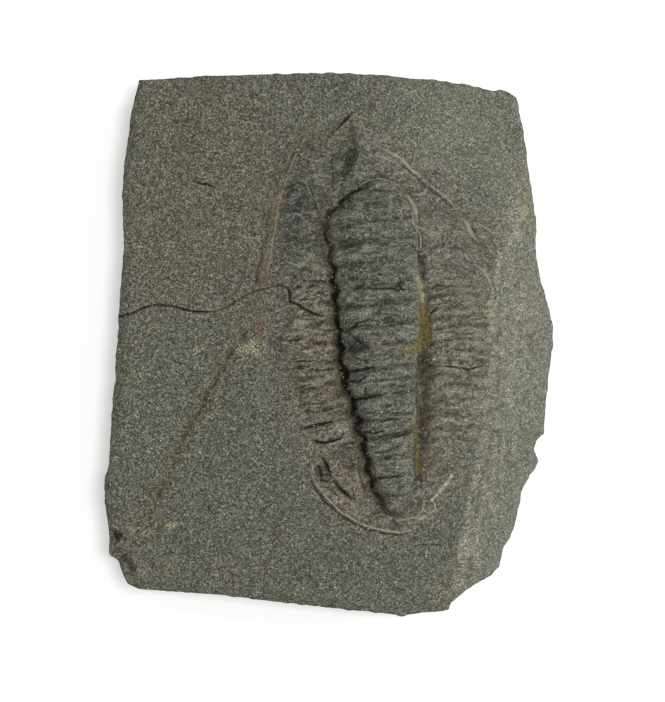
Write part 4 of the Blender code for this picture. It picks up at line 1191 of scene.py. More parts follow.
@dataclass
class StoneSlab:
    """The whole stone: its relief, its broken sides and its underside, as one closed mesh.

    Columns and rows are the grid's cells on the top face, closer together over the fossil. The sides
    take every second point of the rim.
    """

    outline: Outline = field(default_factory=Outline)
    face: SplitFace = field(default_factory=SplitFace)
    lobe: AxialLobe = field(default_factory=AxialLobe)
    head: HeadShield = field(default_factory=HeadShield)
    tail: TailShield = field(default_factory=TailShield)
    columns: int = 248
    rows: int = 336
    fossil_columns: Point = (0.33, 0.88)
    fossil_rows: Point = (0.13, 0.92)
    closeness: float = 2.6
    ledges: Points = ((1.0, 0.0), (0.86, 0.0), (0.66, 0.15), (0.46, 0.05), (0.22, 0.45), (0.0, 0.95))
    side_rows: int = 20
    side_roughness: float = 0.45
    side_lump: float = 3.2
    under_shares: tuple[float, ...] = (0.97, 0.9, 0.75, 0.5, 0.25)
    under_hollow: float = 0.12
    # How finely and how broadly the relief is read for the painted shade in hollows and the painted highlight
    # on crests.
    shading_fine: float = 0.05
    shading_broad: float = 0.3
    # Shares of the painted light mask, which is partly paler stone: on the broken slope and more at its lower
    # end, rising towards the lamp at the right, and on the sides.
    slope_paleness_and_painted_light: float = 0.32
    foot_paleness_and_painted_light: float = 0.17
    right_painted_light: float = 0.34
    side_light: float = 0.25
    points: Grid = field(default_factory=lambda: np.zeros((0, 3)))

    def shares(self, cells: int, fossil: Point) -> Grid:
        """Spaces grid lines, closer together over the fossil.

        Args:
            cells: how many cells.
            fossil: where the fossil starts and ends, 0 to 1.

        Returns:
            The lines' places, 0 to 1.
        """
        fine = np.linspace(0.0, 1.0, 2001)
        start, end = fossil
        inside = smooth_step((fine - start) / 0.08 + 0.5) * smooth_step((end - fine) / 0.08 + 0.5)
        rim = np.exp(-np.minimum(fine, 1 - fine) / 0.008)
        run = np.concatenate(([0.0], np.cumsum(1.0 + (self.closeness - 1.0) * inside + rim)[:-1]))
        return np.interp(np.linspace(0.0, run[-1], cells + 1), run, fine)

    def marks(self) -> Marks:
        """Lists all that is drawn on the top face: wide stains, then lines, then small marks."""
        face, head, tail, lobe = self.face, self.head, self.tail, self.lobe
        wide = face.patches + face.flecks + head.patches + tail.patches + lobe.patches
        drawn = face.lines + head.lines + tail.lines + FLANK_LINES + lobe.lines
        return wide + drawn + face.pit_marks() + face.mottles()

    def top_height(self, x: Grid, y: Grid, rim: Grid) -> Grid:
        """Works out the whole relief.

        Args:
            x, y: the points, mm.
            rim: how far the points are from the outline, mm.

        Returns:
            The height over the ground, mm.
        """
        z = self.face.height(x, y, rim) + self.head.height(x, y) + self.tail.height(x, y)
        z += self.lobe.height(x, y)
        for flank in (LEFT_FLANK, RIGHT_FLANK):
            z += flank.height(x, y, self.lobe)
        for mark in self.marks():
            mark.press(z, x, y)
        return z

    def rim_order(self) -> list[tuple[int, int]]:
        """Lists the grid's border points once round, anticlockwise."""
        across, along = self.columns, self.rows
        order = [(i, 0) for i in range(across)]
        order += [(across, j) for j in range(along)]
        order += [(i, along) for i in range(across, 0, -1)]
        return order + [(0, j) for j in range(along, 0, -1)]

    def side_rings(self, rim: Grid) -> list[Grid]:
        """Makes the rings of points down the broken sides and in under the stone.

        Args:
            rim: every second point of the rim, with its height, mm.

        Returns:
            The rings, from the top down and then inwards.
        """
        flat = rim[:, :2]
        eased = sum(np.roll(flat, k, axis=0) for k in range(-7, 8)) / 15
        tangent = np.roll(eased, -1, axis=0) - np.roll(eased, 1, axis=0)
        tangent /= np.hypot(tangent[:, 0], tangent[:, 1])[:, None]
        inward = np.column_stack((-tangent[:, 1], tangent[:, 0]))
        stands = np.array(self.ledges)[::-1]
        shares = np.linspace(1.0, 0.0, self.side_rows + 1)[1:]
        run = np.cumsum(np.hypot(*(flat - np.roll(flat, 1, axis=0)).T))
        rings = []
        for share in shares:
            back = np.interp(share, stands[:, 0], stands[:, 1])
            level = np.full(len(run), (1.0 - share) * self.face.level)
            coarse = lumps(run * 0.5, level, self.side_lump * 0.6, 35)
            ledge = np.abs(lumps(run * 0.25, level * 1.8, 1.1, 36))
            fine = lumps(run, level, 0.8, 37)
            rough = self.side_roughness * (0.45 + coarse + 0.6 * ledge) + 0.1 * fine
            depth = smooth_step((1.0 - share) * 4.0)
            stand = back + depth * np.clip(rough, 0.02, None)
            place = share * flat + (1.0 - share) * eased + inward * stand[:, None]
            rings.append(np.column_stack((place, rim[:, 2] * share)))
        foot = rings[-1]
        middle = foot.mean(0)
        for share in self.under_shares:
            ring = middle + (foot - middle) * share
            swell = np.clip(lumps(ring[:, 0], ring[:, 1], 2.0, 38), 0.0, None)
            ring[:, 2] = self.under_hollow * (1.0 - share + swell)
            rings.append(ring)
        rings.append(np.array([[middle[0], middle[1], 0.1]]))
        return rings

    def masks(self) -> dict[Stain, Grid]:
        """Works out how much of each stain, and of the painted shade and light, every point carries.

        Returns:
            One mask for each stain, 0 to 1.
        """
        x, y, z = self.points.T
        masks = {stain: np.zeros(len(x)) for stain in Stain}
        masks[Stain.CRACK_GAP] += FAR
        masks[Stain.THREAD_GAP] += FAR
        for mark in self.marks():
            mark.colour(masks, x, y)
        top = smooth_step((z / self.face.level - 0.35) / 0.15)
        for stain in masks:
            if stain not in (Stain.CRACK_GAP, Stain.THREAD_GAP):
                masks[stain] = np.clip(masks[stain] * top, 0.0, 1.0)
        # Painted shadow: the slot along the lobe's left edge is painted dark.
        masks[Stain.DARK] = np.maximum(masks[Stain.DARK], self.lobe.in_slot(x, y) * top)
        masks[Stain.SKIN] = self.lobe.skin(x, y) * top
        out = np.hypot((x - 4.9 + 0.12 * y) / 11.0, (y - 1.5) / 20.0) + 0.12 * lumps(x, y, 2.5, 82)
        masks[Stain.WISP] = smooth_step((1.0 - out) * 4.0) * top
        # Painted light, with paler stone: the broken slope is made lighter, more at its lower end, the face
        # grows lighter towards the lamp at the right, and the sides are made paler.
        slope = self.slope_paleness_and_painted_light + self.foot_paleness_and_painted_light * smooth_step((-8.0 - y) / 8.0)
        slope = slope * self.face.past_slope(x, y)
        fair = smooth_step((x + 4.0) / 20.0) * (0.5 + 0.5 * smooth_step((y + 18.0) / 12.0))
        masks[Stain.LIGHT] += (slope + self.right_painted_light * fair) * top + self.side_light * (1.0 - top)
        # Painted shade in the relief's hollows and painted highlight on its crests.
        hollow, crest = self.relief_shading()
        masks[Stain.HOLLOW_SHADE][:len(hollow)] = hollow
        masks[Stain.CREST_HIGHLIGHT][:len(crest)] = crest
        return masks

    def relief_shading(self) -> tuple[Grid, Grid]:
        """Compares the relief with itself smoothed, to find its hollows, which get painted shade, and its
        crests, which get painted highlight.

        Returns:
            How much painted shade and how much painted highlight each point of the top face gets, 0 to 1.
        """
        wide, tall = self.columns + 1, self.rows + 1
        z = self.points[:wide * tall, 2].reshape(wide, tall)
        bend = (z - eased(z, 1)) / self.shading_fine + (z - eased(z, 5)) / self.shading_broad
        across = np.minimum(np.arange(wide), np.arange(wide)[::-1])[:, None]
        along = np.minimum(np.arange(tall), np.arange(tall)[::-1])[None, :]
        bend = (bend * smooth_step((np.minimum(across, along) - 3.0) / 6.0)).ravel()
        return np.clip(-bend - 0.2, 0.0, 1.0), np.clip(bend - 0.2, 0.0, 1.0)

    def build(self) -> bpy.types.Object:
        """Builds the stone's mesh with its stain masks.

        Returns:
            The stone.
        """
        grid = self.outline.grid(
            self.shares(self.columns, self.fossil_columns), self.shares(self.rows, self.fossil_rows)
        )
        order = self.rim_order()
        x, y = grid[:, :, 0], grid[:, :, 1]
        edge = np.array([grid[place] for place in order + order[:1]])
        rim, _ = distance_to(edge[::3], x, y)
        z = self.top_height(x, y, rim)
        half = np.array([(*grid[place], z[place]) for place in order[::2]])
        rings = self.side_rings(half)
        self.points = np.vstack([np.dstack((x, y, z)).reshape(-1, 3)] + rings)
        mesh = bpy.data.meshes.new("stone")
        mesh.from_pydata([tuple(p) for p in self.points * MM], [], self.faces(order, len(half), len(rings)))
        mesh.validate()
        for stain, mask in self.masks().items():
            layer = mesh.attributes.new(stain.value, "FLOAT", "POINT")
            layer.data.foreach_set("value", mask.astype(np.float32))
        mesh.shade_smooth()
        return placed("stone", mesh)

    def faces(self, order: list[tuple[int, int]], count: int, rings: int) -> list[tuple[int, ...]]:
        """Lists the stone's faces: the top, the seam at the rim, the sides and the underside.

        Args:
            order: the grid's border points once round.
            count: how many points a ring of the sides has.
            rings: how many rings there are, with the underside's middle point as the last.

        Returns:
            The corners of each face, anticlockwise seen from outside.
        """
        wide = self.rows + 1
        faces = [
            (a, a + wide, a + wide + 1, a + 1)
            for i in range(self.columns) for a in range(i * wide, i * wide + self.rows)
        ]
        border = [i * wide + j for i, j in order]
        start = (self.columns + 1) * wide
        steps = [(k, (k + 1) % count) for k in range(count)]
        for k, n in steps:
            a, b, c = border[2 * k], border[2 * k + 1], border[(2 * k + 2) % len(border)]
            faces += [(a, start + k, b), (b, start + k, start + n), (b, start + n, c)]
        for base in range(start, start + (rings - 2) * count, count):
            faces += [(base + k, base + count + k, base + count + n, base + n) for k, n in steps]
        last = start + (rings - 2) * count
        return faces + [(last + k, last + count, last + n) for k, n in steps]

    def surface(self, points: Points) -> list[tuple[float, float, float]]:
        """Lays a line on the relief.

        Args:
            points: the line, mm.

        Returns:
            Points on the stone, in metres.
        """
        line = rounded(points)
        x, y = line.T
        z = self.top_height(x, y, np.full(len(line), FAR))
        return [tuple(p) for p in np.column_stack((x, y, z)) * MM]


class Tree:
    """A node tree under construction."""

    def __init__(self, tree: NodeTree) -> None:
        """Starts with the given tree."""
        self.tree = tree

    def add(self, kind: str, settings: dict | None = None, **inputs: object) -> bpy.types.Node:
        """Adds a node.

        Args:
            kind: the node's type.
            settings: its properties.
            inputs: its input sockets by name, spaces as underscores: a value or a socket to link.

        Returns:
            The node.
        """
        node = self.tree.nodes.new(kind)
        for name, value in (settings or {}).items():
            setattr(node, name, value)
        for name, value in inputs.items():
            self.feed(node, name.replace("_", " "), value)
        return node

    def feed(self, node: bpy.types.Node, key: str | int, value: object) -> None:
        """Sets or links one input of a node, by its name or number."""
        sockets = [s for s in node.inputs if s.enabled] if isinstance(key, str) else node.inputs
        socket = next(s for s in sockets if s.name == key) if isinstance(key, str) else sockets[key]
        if isinstance(value, Socket):
            self.tree.links.new(value, socket)
        else:
            socket.default_value = value

    def math(self, operation: str, *values: object) -> Socket:
        """Does one sum on up to three values and gives its result."""
        node = self.add("ShaderNodeMath", {"operation": operation})
        for number, value in enumerate(values):
            self.feed(node, number, value)
        return node.outputs[0]

    def mix(self, share: object, first: object, second: object, blend: str = "MIX") -> Socket:
        """Mixes two colours.

        Args:
            share: how much of the second.
            first: a colour or its socket.
            second: a colour or its socket.
            blend: how they are mixed.

        Returns:
            The mixed colour.
        """
        node = self.add("ShaderNodeMix", {"data_type": "RGBA", "blend_type": blend})
        for number, value in ((0, share), (6, first), (7, second)):
            plain = isinstance(value, tuple) and len(value) == 3
            self.feed(node, number, (*value, 1.0) if plain else value)
        return node.outputs[2]

    def place(self) -> Socket:
        """Gives the place on the object."""
        return self.add("ShaderNodeTexCoord").outputs["Object"]

    def mask(self, name: str) -> Socket:
        """Reads a value kept on the points."""
        return self.add("ShaderNodeAttribute", {"attribute_name": name}).outputs["Fac"]

    def shared(self, group: NodeTree, output: str, **inputs: object) -> Socket:
        """Uses a shared group for one of its outputs."""
        return self.add("ShaderNodeGroup", {"node_tree": group}, **inputs).outputs[output]

    def grey(self, value: Socket) -> Socket:
        """Makes a grey as light as a value."""
        return self.add("ShaderNodeCombineColor", None, Red=value, Green=value, Blue=value).outputs[0]

    def noise(self, place: object, scale: object, detail: float, **more: float) -> Socket:
        """Gives soft noise around 0.5, with its scale per metre."""
        node = self.add("ShaderNodeTexNoise", None, Vector=place, Scale=scale, Detail=detail, **more)
        return node.outputs[0]

    def eased(self, value: object, start: object, end: object) -> Socket:
        """Gives 0 to 1 with level ends, as a value runs from start to end."""
        return self.add(
            "ShaderNodeMapRange", {"interpolation_type": "SMOOTHSTEP"}, Value=value, From_Min=start,
            From_Max=end, To_Min=0.0, To_Max=1.0,
        ).outputs[0]

    def squeezed(self, share: float, shift: object = 0.0) -> Socket:
        """Gives the place on the object with x cut to a share and z shifted.

        Args:
            share: how much of x is kept.
            shift: what z gains.

        Returns:
            The changed place.
        """
        parts = self.add("ShaderNodeSeparateXYZ", None, Vector=self.place()).outputs
        x, z = self.math("MULTIPLY", parts[0], share), self.math("ADD", parts[2], shift)
        return self.add("ShaderNodeCombineXYZ", None, X=x, Y=parts[1], Z=z).outputs[0]

    def random(self, seed: object, least: Triple, most: Triple) -> Socket:
        """Gives three random numbers for each point.

        Args:
            seed: which numbers.
            least: the smallest of each.
            most: the largest of each.

        Returns:
            The numbers.
        """
        node = self.add("FunctionNodeRandomValue", {"data_type": "FLOAT_VECTOR"}, Seed=seed)
        self.feed(node, 0, least)
        self.feed(node, 1, most)
        return node.outputs[0]


def new_group(name: str, inputs: dict[str, float], outputs: Sequence[str]) -> tuple[Tree, dict, dict]:
    """Starts a shader node group of plain values.

    Args:
        name: the group's name.
        inputs: its inputs and their usual values.
        outputs: its outputs.

    Returns:
        The tree, its input sockets and its output sockets by name.
    """
    group = bpy.data.node_groups.new(name, "ShaderNodeTree")
    for key, value in inputs.items():
        socket = group.interface.new_socket(key, in_out="INPUT", socket_type="NodeSocketFloat")
        socket.default_value = value
    for key in outputs:
        group.interface.new_socket(key, in_out="OUTPUT", socket_type="NodeSocketFloat")
    tree = Tree(group)
    entry = tree.add("NodeGroupInput")
    leave = tree.add("NodeGroupOutput")
    return tree, {s.name: s for s in entry.outputs}, {s.name: s for s in leave.inputs}


def grain_group() -> NodeTree:
    """Makes the mottling of a fine sandstone.

    Returns:
        The group: grains per metre in; mottling, bump height and bright and dark specks out.
    """
    tree, given, wanted = new_group(
        "sand_grain", {"Grains": 6000.0, "Clump Share": 0.3}, ("Mottle", "Height", "Bright", "Black")
    )
    place = tree.place()
    cells = tree.add("ShaderNodeTexVoronoi", {"feature": "F1"}, Vector=place, Scale=given["Grains"])
    tint = tree.add("ShaderNodeSeparateColor", None, Color=cells.outputs["Color"]).outputs
    small = tree.noise(place, tree.math("MULTIPLY", given["Grains"], 1.25), 2.0)
    clump = tree.noise(place, tree.math("MULTIPLY", given["Grains"], 0.3), 3.0)
    grain = tree.math("MULTIPLY_ADD", tint[0], 0.62, tree.math("MULTIPLY", small, 0.38))
    spread = tree.math("SUBTRACT", 1.0, given["Clump Share"])
    clumps = tree.math("MULTIPLY", clump, given["Clump Share"])
    dome = tree.math("SUBTRACT", 1.0, cells.outputs["Distance"])
    for output, value in (
        ("Mottle", tree.math("MULTIPLY_ADD", grain, spread, clumps)),
        ("Height", tree.math("MULTIPLY_ADD", dome, 0.6, tree.math("MULTIPLY", grain, 0.8))),
        ("Bright", tree.math("GREATER_THAN", tint[1], 0.985)),
        ("Black", tree.math("GREATER_THAN", tint[2], 0.95)),
    ):
        tree.tree.links.new(value, wanted[output])
    return tree.tree


def ragged_group() -> NodeTree:
    """Makes the torn edge of a stain, shared by all stains.

    Returns:
        The group: a mask, its noise per metre and how far the noise bites in; the torn mask out.
    """
    tree, given, wanted = new_group("ragged_edge", {"Mask": 0.0, "Scale": 1800.0, "Bite": 0.6}, ("Mask",))
    noise = tree.noise(tree.place(), given["Scale"], 4.0, Roughness=0.7)
    swing = tree.math("SUBTRACT", noise, 0.5)
    bite = tree.math("MULTIPLY", tree.math("MULTIPLY", swing, given["Bite"]), 2.0)
    kept = tree.math("SMOOTH_MIN", given["Mask"], 1.0, 0.1)
    part = tree.math("MULTIPLY", kept, tree.math("ADD", 1.0, bite))
    tree.tree.links.new(tree.math("MAXIMUM", tree.math("MINIMUM", part, 1.0), 0.0), wanted["Mask"])
    return tree.tree


def thread_group() -> NodeTree:
    """Makes thin wandering threads, shared by the pale shell traces and the dark hairlines.

    Returns:
        The group: threads per metre, their thinness, a shift that picks other threads; the threads out.
    """
    tree, given, wanted = new_group(
        "wandering_threads", {"Scale": 520.0, "Thin": 0.03, "Shift": 0.0}, ("Threads",)
    )
    drawn = tree.squeezed(0.6, given["Shift"])
    noise = tree.noise(drawn, given["Scale"], 5.0, Roughness=0.62, Distortion=0.5)
    ridge = tree.math("ABSOLUTE", tree.math("SUBTRACT", noise, 0.5))
    thread = tree.eased(ridge, given["Thin"], 0.0)
    broken = tree.noise(drawn, tree.math("MULTIPLY", given["Scale"], 0.8), 2.0)
    kept = tree.eased(broken, 0.45, 0.62)
    tree.tree.links.new(tree.math("MULTIPLY", thread, kept), wanted["Threads"])
    return tree.tree


def wrinkle_group() -> NodeTree:
    """Makes fine wrinkles that run across the fossil, for its bumps and for painted shading in its colour.

    Returns:
        The group: a mask, wrinkles per metre and their strength in; a painted shade around 1, lighter where
            the wrinkles rise and darker where they sink, and a height out.
    """
    tree, given, wanted = new_group(
        "wrinkle_bumps_and_painted_shading", {"Mask": 0.0, "Scale": 2400.0, "Strength": 1.2}, ("Shade", "Height")
    )
    noise = tree.noise(tree.squeezed(0.42), given["Scale"], 4.0, Roughness=0.6, Distortion=0.3)
    swing = tree.math("MULTIPLY", tree.math("SUBTRACT", noise, 0.5), given["Mask"])
    tree.tree.links.new(tree.math("MULTIPLY_ADD", swing, given["Strength"], 1.0), wanted["Shade"])
    tree.tree.links.new(tree.math("MULTIPLY", swing, given["Strength"]), wanted["Height"])
    return tree.tree


def new_material(
    name: str, roughness: float, specular: float = 0.5
) -> tuple[bpy.types.Material, Tree, bpy.types.Node]:
    """Starts a material.

    Args:
        name: its name.
        roughness: how matt it is.
        specular: how strongly it mirrors.

    Returns:
        The material, its tree and its shader.
    """
    material = bpy.data.materials.new(name)
    material.use_nodes = True
    shader = material.node_tree.nodes["Principled BSDF"]
    shader.inputs["Roughness"].default_value = roughness
    shader.inputs["Specular IOR Level"].default_value = specular
    return material, Tree(material.node_tree), shader


def placed(name: str, data: bpy.types.ID) -> bpy.types.Object:
    """Puts a new object in the scene.

    Args:
        name: its name.
        data: its mesh, lamp or camera.

    Returns:
        The object.
    """
    thing = bpy.data.objects.new(name, data)
    bpy.context.scene.collection.objects.link(thing)
    return thing


@dataclass(frozen=True)
class StainTint:
    """How one stain looks: its colour, how torn its edge is and how much of the grain shows through."""

    stain: Stain
    colour: Colour
    scale: float = 1800.0
    bite: float = 0.6
    grain: float = 0.7


@dataclass(frozen=True)
class StoneFinish:
    """Fine greenish-grey sandstone with its stains and its painted shade and light, matt and granular."""

    grains: float = 10500.0
    darkest: Colour = (0.022, 0.020, 0.014)
    dark: Colour = (0.063, 0.060, 0.043)
    middle: Colour = (0.106, 0.104, 0.078)
    light: Colour = (0.170, 0.168, 0.128)
    lightest: Colour = (0.36, 0.35, 0.28)
    stops: tuple[float, ...] = (0.22, 0.38, 0.5, 0.62, 0.8)
    # Colour shifts by mask. The light mask paints light, with paler stone; the tone-and-shade mask darkens
    # the tone and paints shade; the hollow and crest masks paint shade in hollows and highlights on crests;
    # the rest are the stone's own tints.
    shifts: tuple[tuple[Stain, Colour], ...] = (
        (Stain.SKIN, (0.745, 0.775, 0.795)),
        (Stain.WARM, (1.05, 0.99, 0.89)),
        (Stain.COOL, (0.955, 1.0, 1.04)),
        (Stain.LIGHT, (1.50, 1.52, 1.57)),
        (Stain.DARKER_TONE_AND_PAINTED_SHADE, (0.62, 0.64, 0.66)),
        (Stain.SLATE, (0.50, 0.54, 0.62)),
        (Stain.PINK, (1.13, 0.98, 0.93)),
        (Stain.CREST_HIGHLIGHT, (1.42, 1.42, 1.38)),
        (Stain.HOLLOW_SHADE, (0.50, 0.46, 0.41)),
    )
    # Pale colour mixed in as painted light where the light mask is high.
    painted_light_haze: Colour = (0.245, 0.242, 0.196)
    wisp: Colour = (0.30, 0.285, 0.23)
    thread: Colour = (0.34, 0.315, 0.25)
    roughness: float = 0.86
    specular: float = 0.35
    bump: float = 0.00005
    # Colour of the cracks and of the painted shadow lines.
    crack_and_shadow_line_colour: Colour = (0.008, 0.007, 0.006)
    tints: tuple[StainTint, ...] = (
        StainTint(Stain.RUST, (0.118, 0.078, 0.040), 1500.0, 0.9),
        StainTint(Stain.OLIVE, (0.172, 0.148, 0.036), 2600.0, 1.7, 1.0),
        StainTint(Stain.PALE, (0.36, 0.33, 0.22), 2600.0, 3.0, 0.5),
        # Dark mineral and dark marks, and painted shadow in the slot and beside ridges and steps.
        StainTint(Stain.DARK, (0.010, 0.009, 0.007), 3600.0, 0.8, 0.1),
    )

    def material(
        self, grain: NodeTree, ragged: NodeTree, threads: NodeTree,
        wrinkles: NodeTree,
    ) -> bpy.types.Material:
        """Makes the stone's material.

        Args:
            grain: the mottling.
            ragged: the torn edge of stains.
            threads: the wandering threads.
            wrinkles: the fine wrinkles.

        Returns:
            The material.
        """
        material, tree, shader = new_material("sandstone", self.roughness, self.specular)
        sand = tree.add("ShaderNodeGroup", {"node_tree": grain}, Grains=self.grains).outputs
        ramp = tree.add("ShaderNodeValToRGB", None, Fac=sand["Mottle"])
        tones = (self.darkest, self.dark, self.middle, self.light, self.lightest)
        while len(ramp.color_ramp.elements) < len(tones):
            ramp.color_ramp.elements.new(0.5)
        for element, stop, tone in zip(ramp.color_ramp.elements, self.stops, tones):
            element.position = stop
            element.color = (*tone, 1.0)
        colour = ramp.outputs["Color"]
        for specks, share, tone in (("Bright", 0.8, self.lightest), ("Black", 0.7, self.darkest)):
            colour = tree.mix(tree.math("MULTIPLY", sand[specks], share), colour, tone)
        for stain, shift in self.shifts:
            mask = tree.mask(stain.value)
            if stain in (Stain.SLATE, Stain.PINK, Stain.CREST_HIGHLIGHT, Stain.HOLLOW_SHADE):
                mask = tree.shared(ragged, "Mask", Mask=mask, Scale=2600.0, Bite=0.5)
            colour = tree.mix(mask, colour, tree.mix(1.0, colour, shift, "MULTIPLY"))
        # Painted light: a pale haze is mixed in where the light mask is high.
        colour = tree.mix(tree.math("MULTIPLY", tree.mask(Stain.LIGHT.value), 0.3), colour, self.painted_light_haze)
        area = tree.mask(Stain.WISP.value)
        skin = tree.add("ShaderNodeGroup", {"node_tree": wrinkles}, Mask=area, Scale=2000.0, Strength=1.7)
        # Painted shading: the wrinkles lighten the colour where they rise and darken it where they sink.
        colour = tree.mix(1.0, colour, tree.grey(skin.outputs["Shade"]), "MULTIPLY")
        for tone, strength, scale, thin, shift in (
            (self.wisp, 0.75, 520.0, 0.024, 0.0),
            (self.wisp, 0.75, 1000.0, 0.035, 0.05),
            (self.darkest, 0.85, 700.0, 0.026, 0.1),
        ):
            drawn = tree.shared(threads, "Threads", Scale=scale, Thin=thin, Shift=shift)
            share = tree.math("MULTIPLY", tree.math("MULTIPLY", drawn, area), strength)
            colour = tree.mix(share, colour, tone)
        for tint in self.tints:
            torn = tree.shared(
                ragged, "Mask", Mask=tree.mask(tint.stain.value), Scale=tint.scale, Bite=tint.bite
            )
            colour = tree.mix(torn, colour, self.grained(tree, sand["Mottle"], tint.colour, tint.grain))
        drawn = self.thin_line(tree, Stain.THREAD_GAP, Stain.THREAD_PALE)
        colour = tree.mix(drawn, colour, self.grained(tree, sand["Mottle"], self.thread, 0.1))
        # The dark cracks, and a few painted shadow lines beside ridges and steps.
        cut = self.thin_line(tree, Stain.CRACK_GAP, Stain.CRACK_AND_SHADOW_INK)
        tree.feed(shader, "Base Color", tree.mix(cut, colour, self.crack_and_shadow_line_colour))
        relief = tree.math("MULTIPLY_ADD", skin.outputs["Height"], 2.0, sand["Height"])
        height = tree.math("MULTIPLY_ADD", cut, -1.5, relief)
        bump = tree.add("ShaderNodeBump", None, Height=height, Strength=0.9, Distance=self.bump)
        tree.feed(shader, "Normal", bump.outputs["Normal"])
        return material

    def grained(self, tree: Tree, mottle: Socket, colour: Colour, amount: float) -> Socket:
        """Lets the grain show through a colour.

        Args:
            tree: the material's tree.
            mottle: the grain's mottling.
            colour: the colour.
            amount: how much of the grain shows.

        Returns:
            The mottled colour.
        """
        shade = tree.math("MULTIPLY_ADD", mottle, 2.2, -0.1)
        part = tree.math("MULTIPLY_ADD", tree.math("SUBTRACT", shade, 1.0), amount, 1.0)
        return tree.mix(1.0, tree.grey(part), colour, "MULTIPLY")

    def thin_line(self, tree: Tree, gaps: Stain, inks: Stain) -> Socket:
        """Draws the thin lines of one kind from the distances kept on the points.

        Args:
            tree: the material's tree.
            gaps: where the distance to the nearest line is kept.
            inks: where its strength is kept.

        Returns:
            How much of a line is there, 0 to 1.
        """
        noise = tree.noise(tree.place(), 3800.0, 3.0, Roughness=0.65)
        moved = tree.math("MULTIPLY_ADD", tree.math("SUBTRACT", noise, 0.5), 3.0, tree.mask(gaps.value))
        inside = tree.eased(tree.math("ABSOLUTE", moved), 1.5, 0.7)
        return tree.math("MULTIPLY", inside, tree.mask(inks.value))


@dataclass(frozen=True)
class GrainFinish:
    """A mineral grain: one colour that runs from dark to light by a value on each grain."""

    name: str
    dark: Colour
    light: Colour
    roughness: float

    def material(self) -> bpy.types.Material:
        """Makes the grains' material.

        Returns:
            The material.
        """
        material, tree, shader = new_material(self.name, self.roughness)
        noise = tree.noise(tree.place(), 9000.0, 2.0)
        mixed = tree.math("MULTIPLY_ADD", noise, 0.4, tree.math("MULTIPLY", tree.mask("shade"), 0.7))
        tree.feed(shader, "Base Color", tree.mix(mixed, self.dark, self.light))
        return material


class GrainKind(Enum):
    """The mineral grains that lie in the stone's surface."""

    QUARTZ = GrainFinish("quartz_grain", (0.20, 0.19, 0.15), (0.62, 0.60, 0.52), 0.4)
    MICA = GrainFinish("mica_grain", (0.012, 0.012, 0.010), (0.05, 0.048, 0.04), 0.35)
    OCHRE = GrainFinish("ochre_granule", (0.10, 0.075, 0.014), (0.34, 0.29, 0.07), 0.7)
    CALCITE = GrainFinish("calcite_grain", (0.22, 0.19, 0.13), (0.60, 0.56, 0.44), 0.5)
    FLECK = GrainFinish("pale_fleck", (0.20, 0.19, 0.10), (0.56, 0.54, 0.36), 0.6)


def new_growth(name: str, inputs: dict[str, str]) -> tuple[Tree, bpy.types.bpy_prop_collection]:
    """Starts a Geometry Nodes tree with a mesh in and a mesh out.

    Args:
        name: the tree's name.
        inputs: its other inputs and their kinds.

    Returns:
        The tree and its input sockets.
    """
    group = bpy.data.node_groups.new(name, "GeometryNodeTree")
    for label, kind in {"Geometry": "Geometry", **inputs}.items():
        group.interface.new_socket(label, in_out="INPUT", socket_type="NodeSocket" + kind)
    group.interface.new_socket("Geometry", in_out="OUTPUT", socket_type="NodeSocketGeometry")
    tree = Tree(group)
    return tree, tree.add("NodeGroupInput").outputs


def end_growth(
    tree: Tree, given: bpy.types.bpy_prop_collection, spots: Socket, fineness: int,
    least: Triple, most: Triple,
) -> NodeTree:
    """Sets turned grains of uneven size and shade on points, and ends the tree.

    Args:
        tree: the tree.
        given: its input sockets.
        spots: the points.
        fineness: how finely a grain is divided.
        least: the smallest scale along each axis.
        most: the largest.

    Returns:
        The finished tree.
    """
    grain = tree.add("GeometryNodeMeshIcoSphere", None, Radius=given["Size"], Subdivisions=fineness)
    laid = tree.add(
        "GeometryNodeInstanceOnPoints", None, Points=spots, Instance=grain.outputs["Mesh"],
        Rotation=tree.random(given["Seed"], (0.0, 0.0, 0.0), (6.28, 6.28, 6.28)),
        Scale=tree.random(given["Seed"], least, most),
    )
    shade = tree.add("FunctionNodeRandomValue", {"data_type": "FLOAT"}, Seed=given["Seed"])
    kept = tree.add(
        "GeometryNodeStoreNamedAttribute", {"data_type": "FLOAT", "domain": "INSTANCE"},
        Geometry=laid.outputs[0], Name="shade", Value=shade.outputs[1],
    )
    real = tree.add("GeometryNodeRealizeInstances", None, Geometry=kept.outputs[0])
    dressed = tree.add("GeometryNodeSetMaterial", None, Geometry=real.outputs[0], Material=given["Material"])
    tree.add("NodeGroupOutput", None, Geometry=dressed.outputs[0])
    return tree.tree


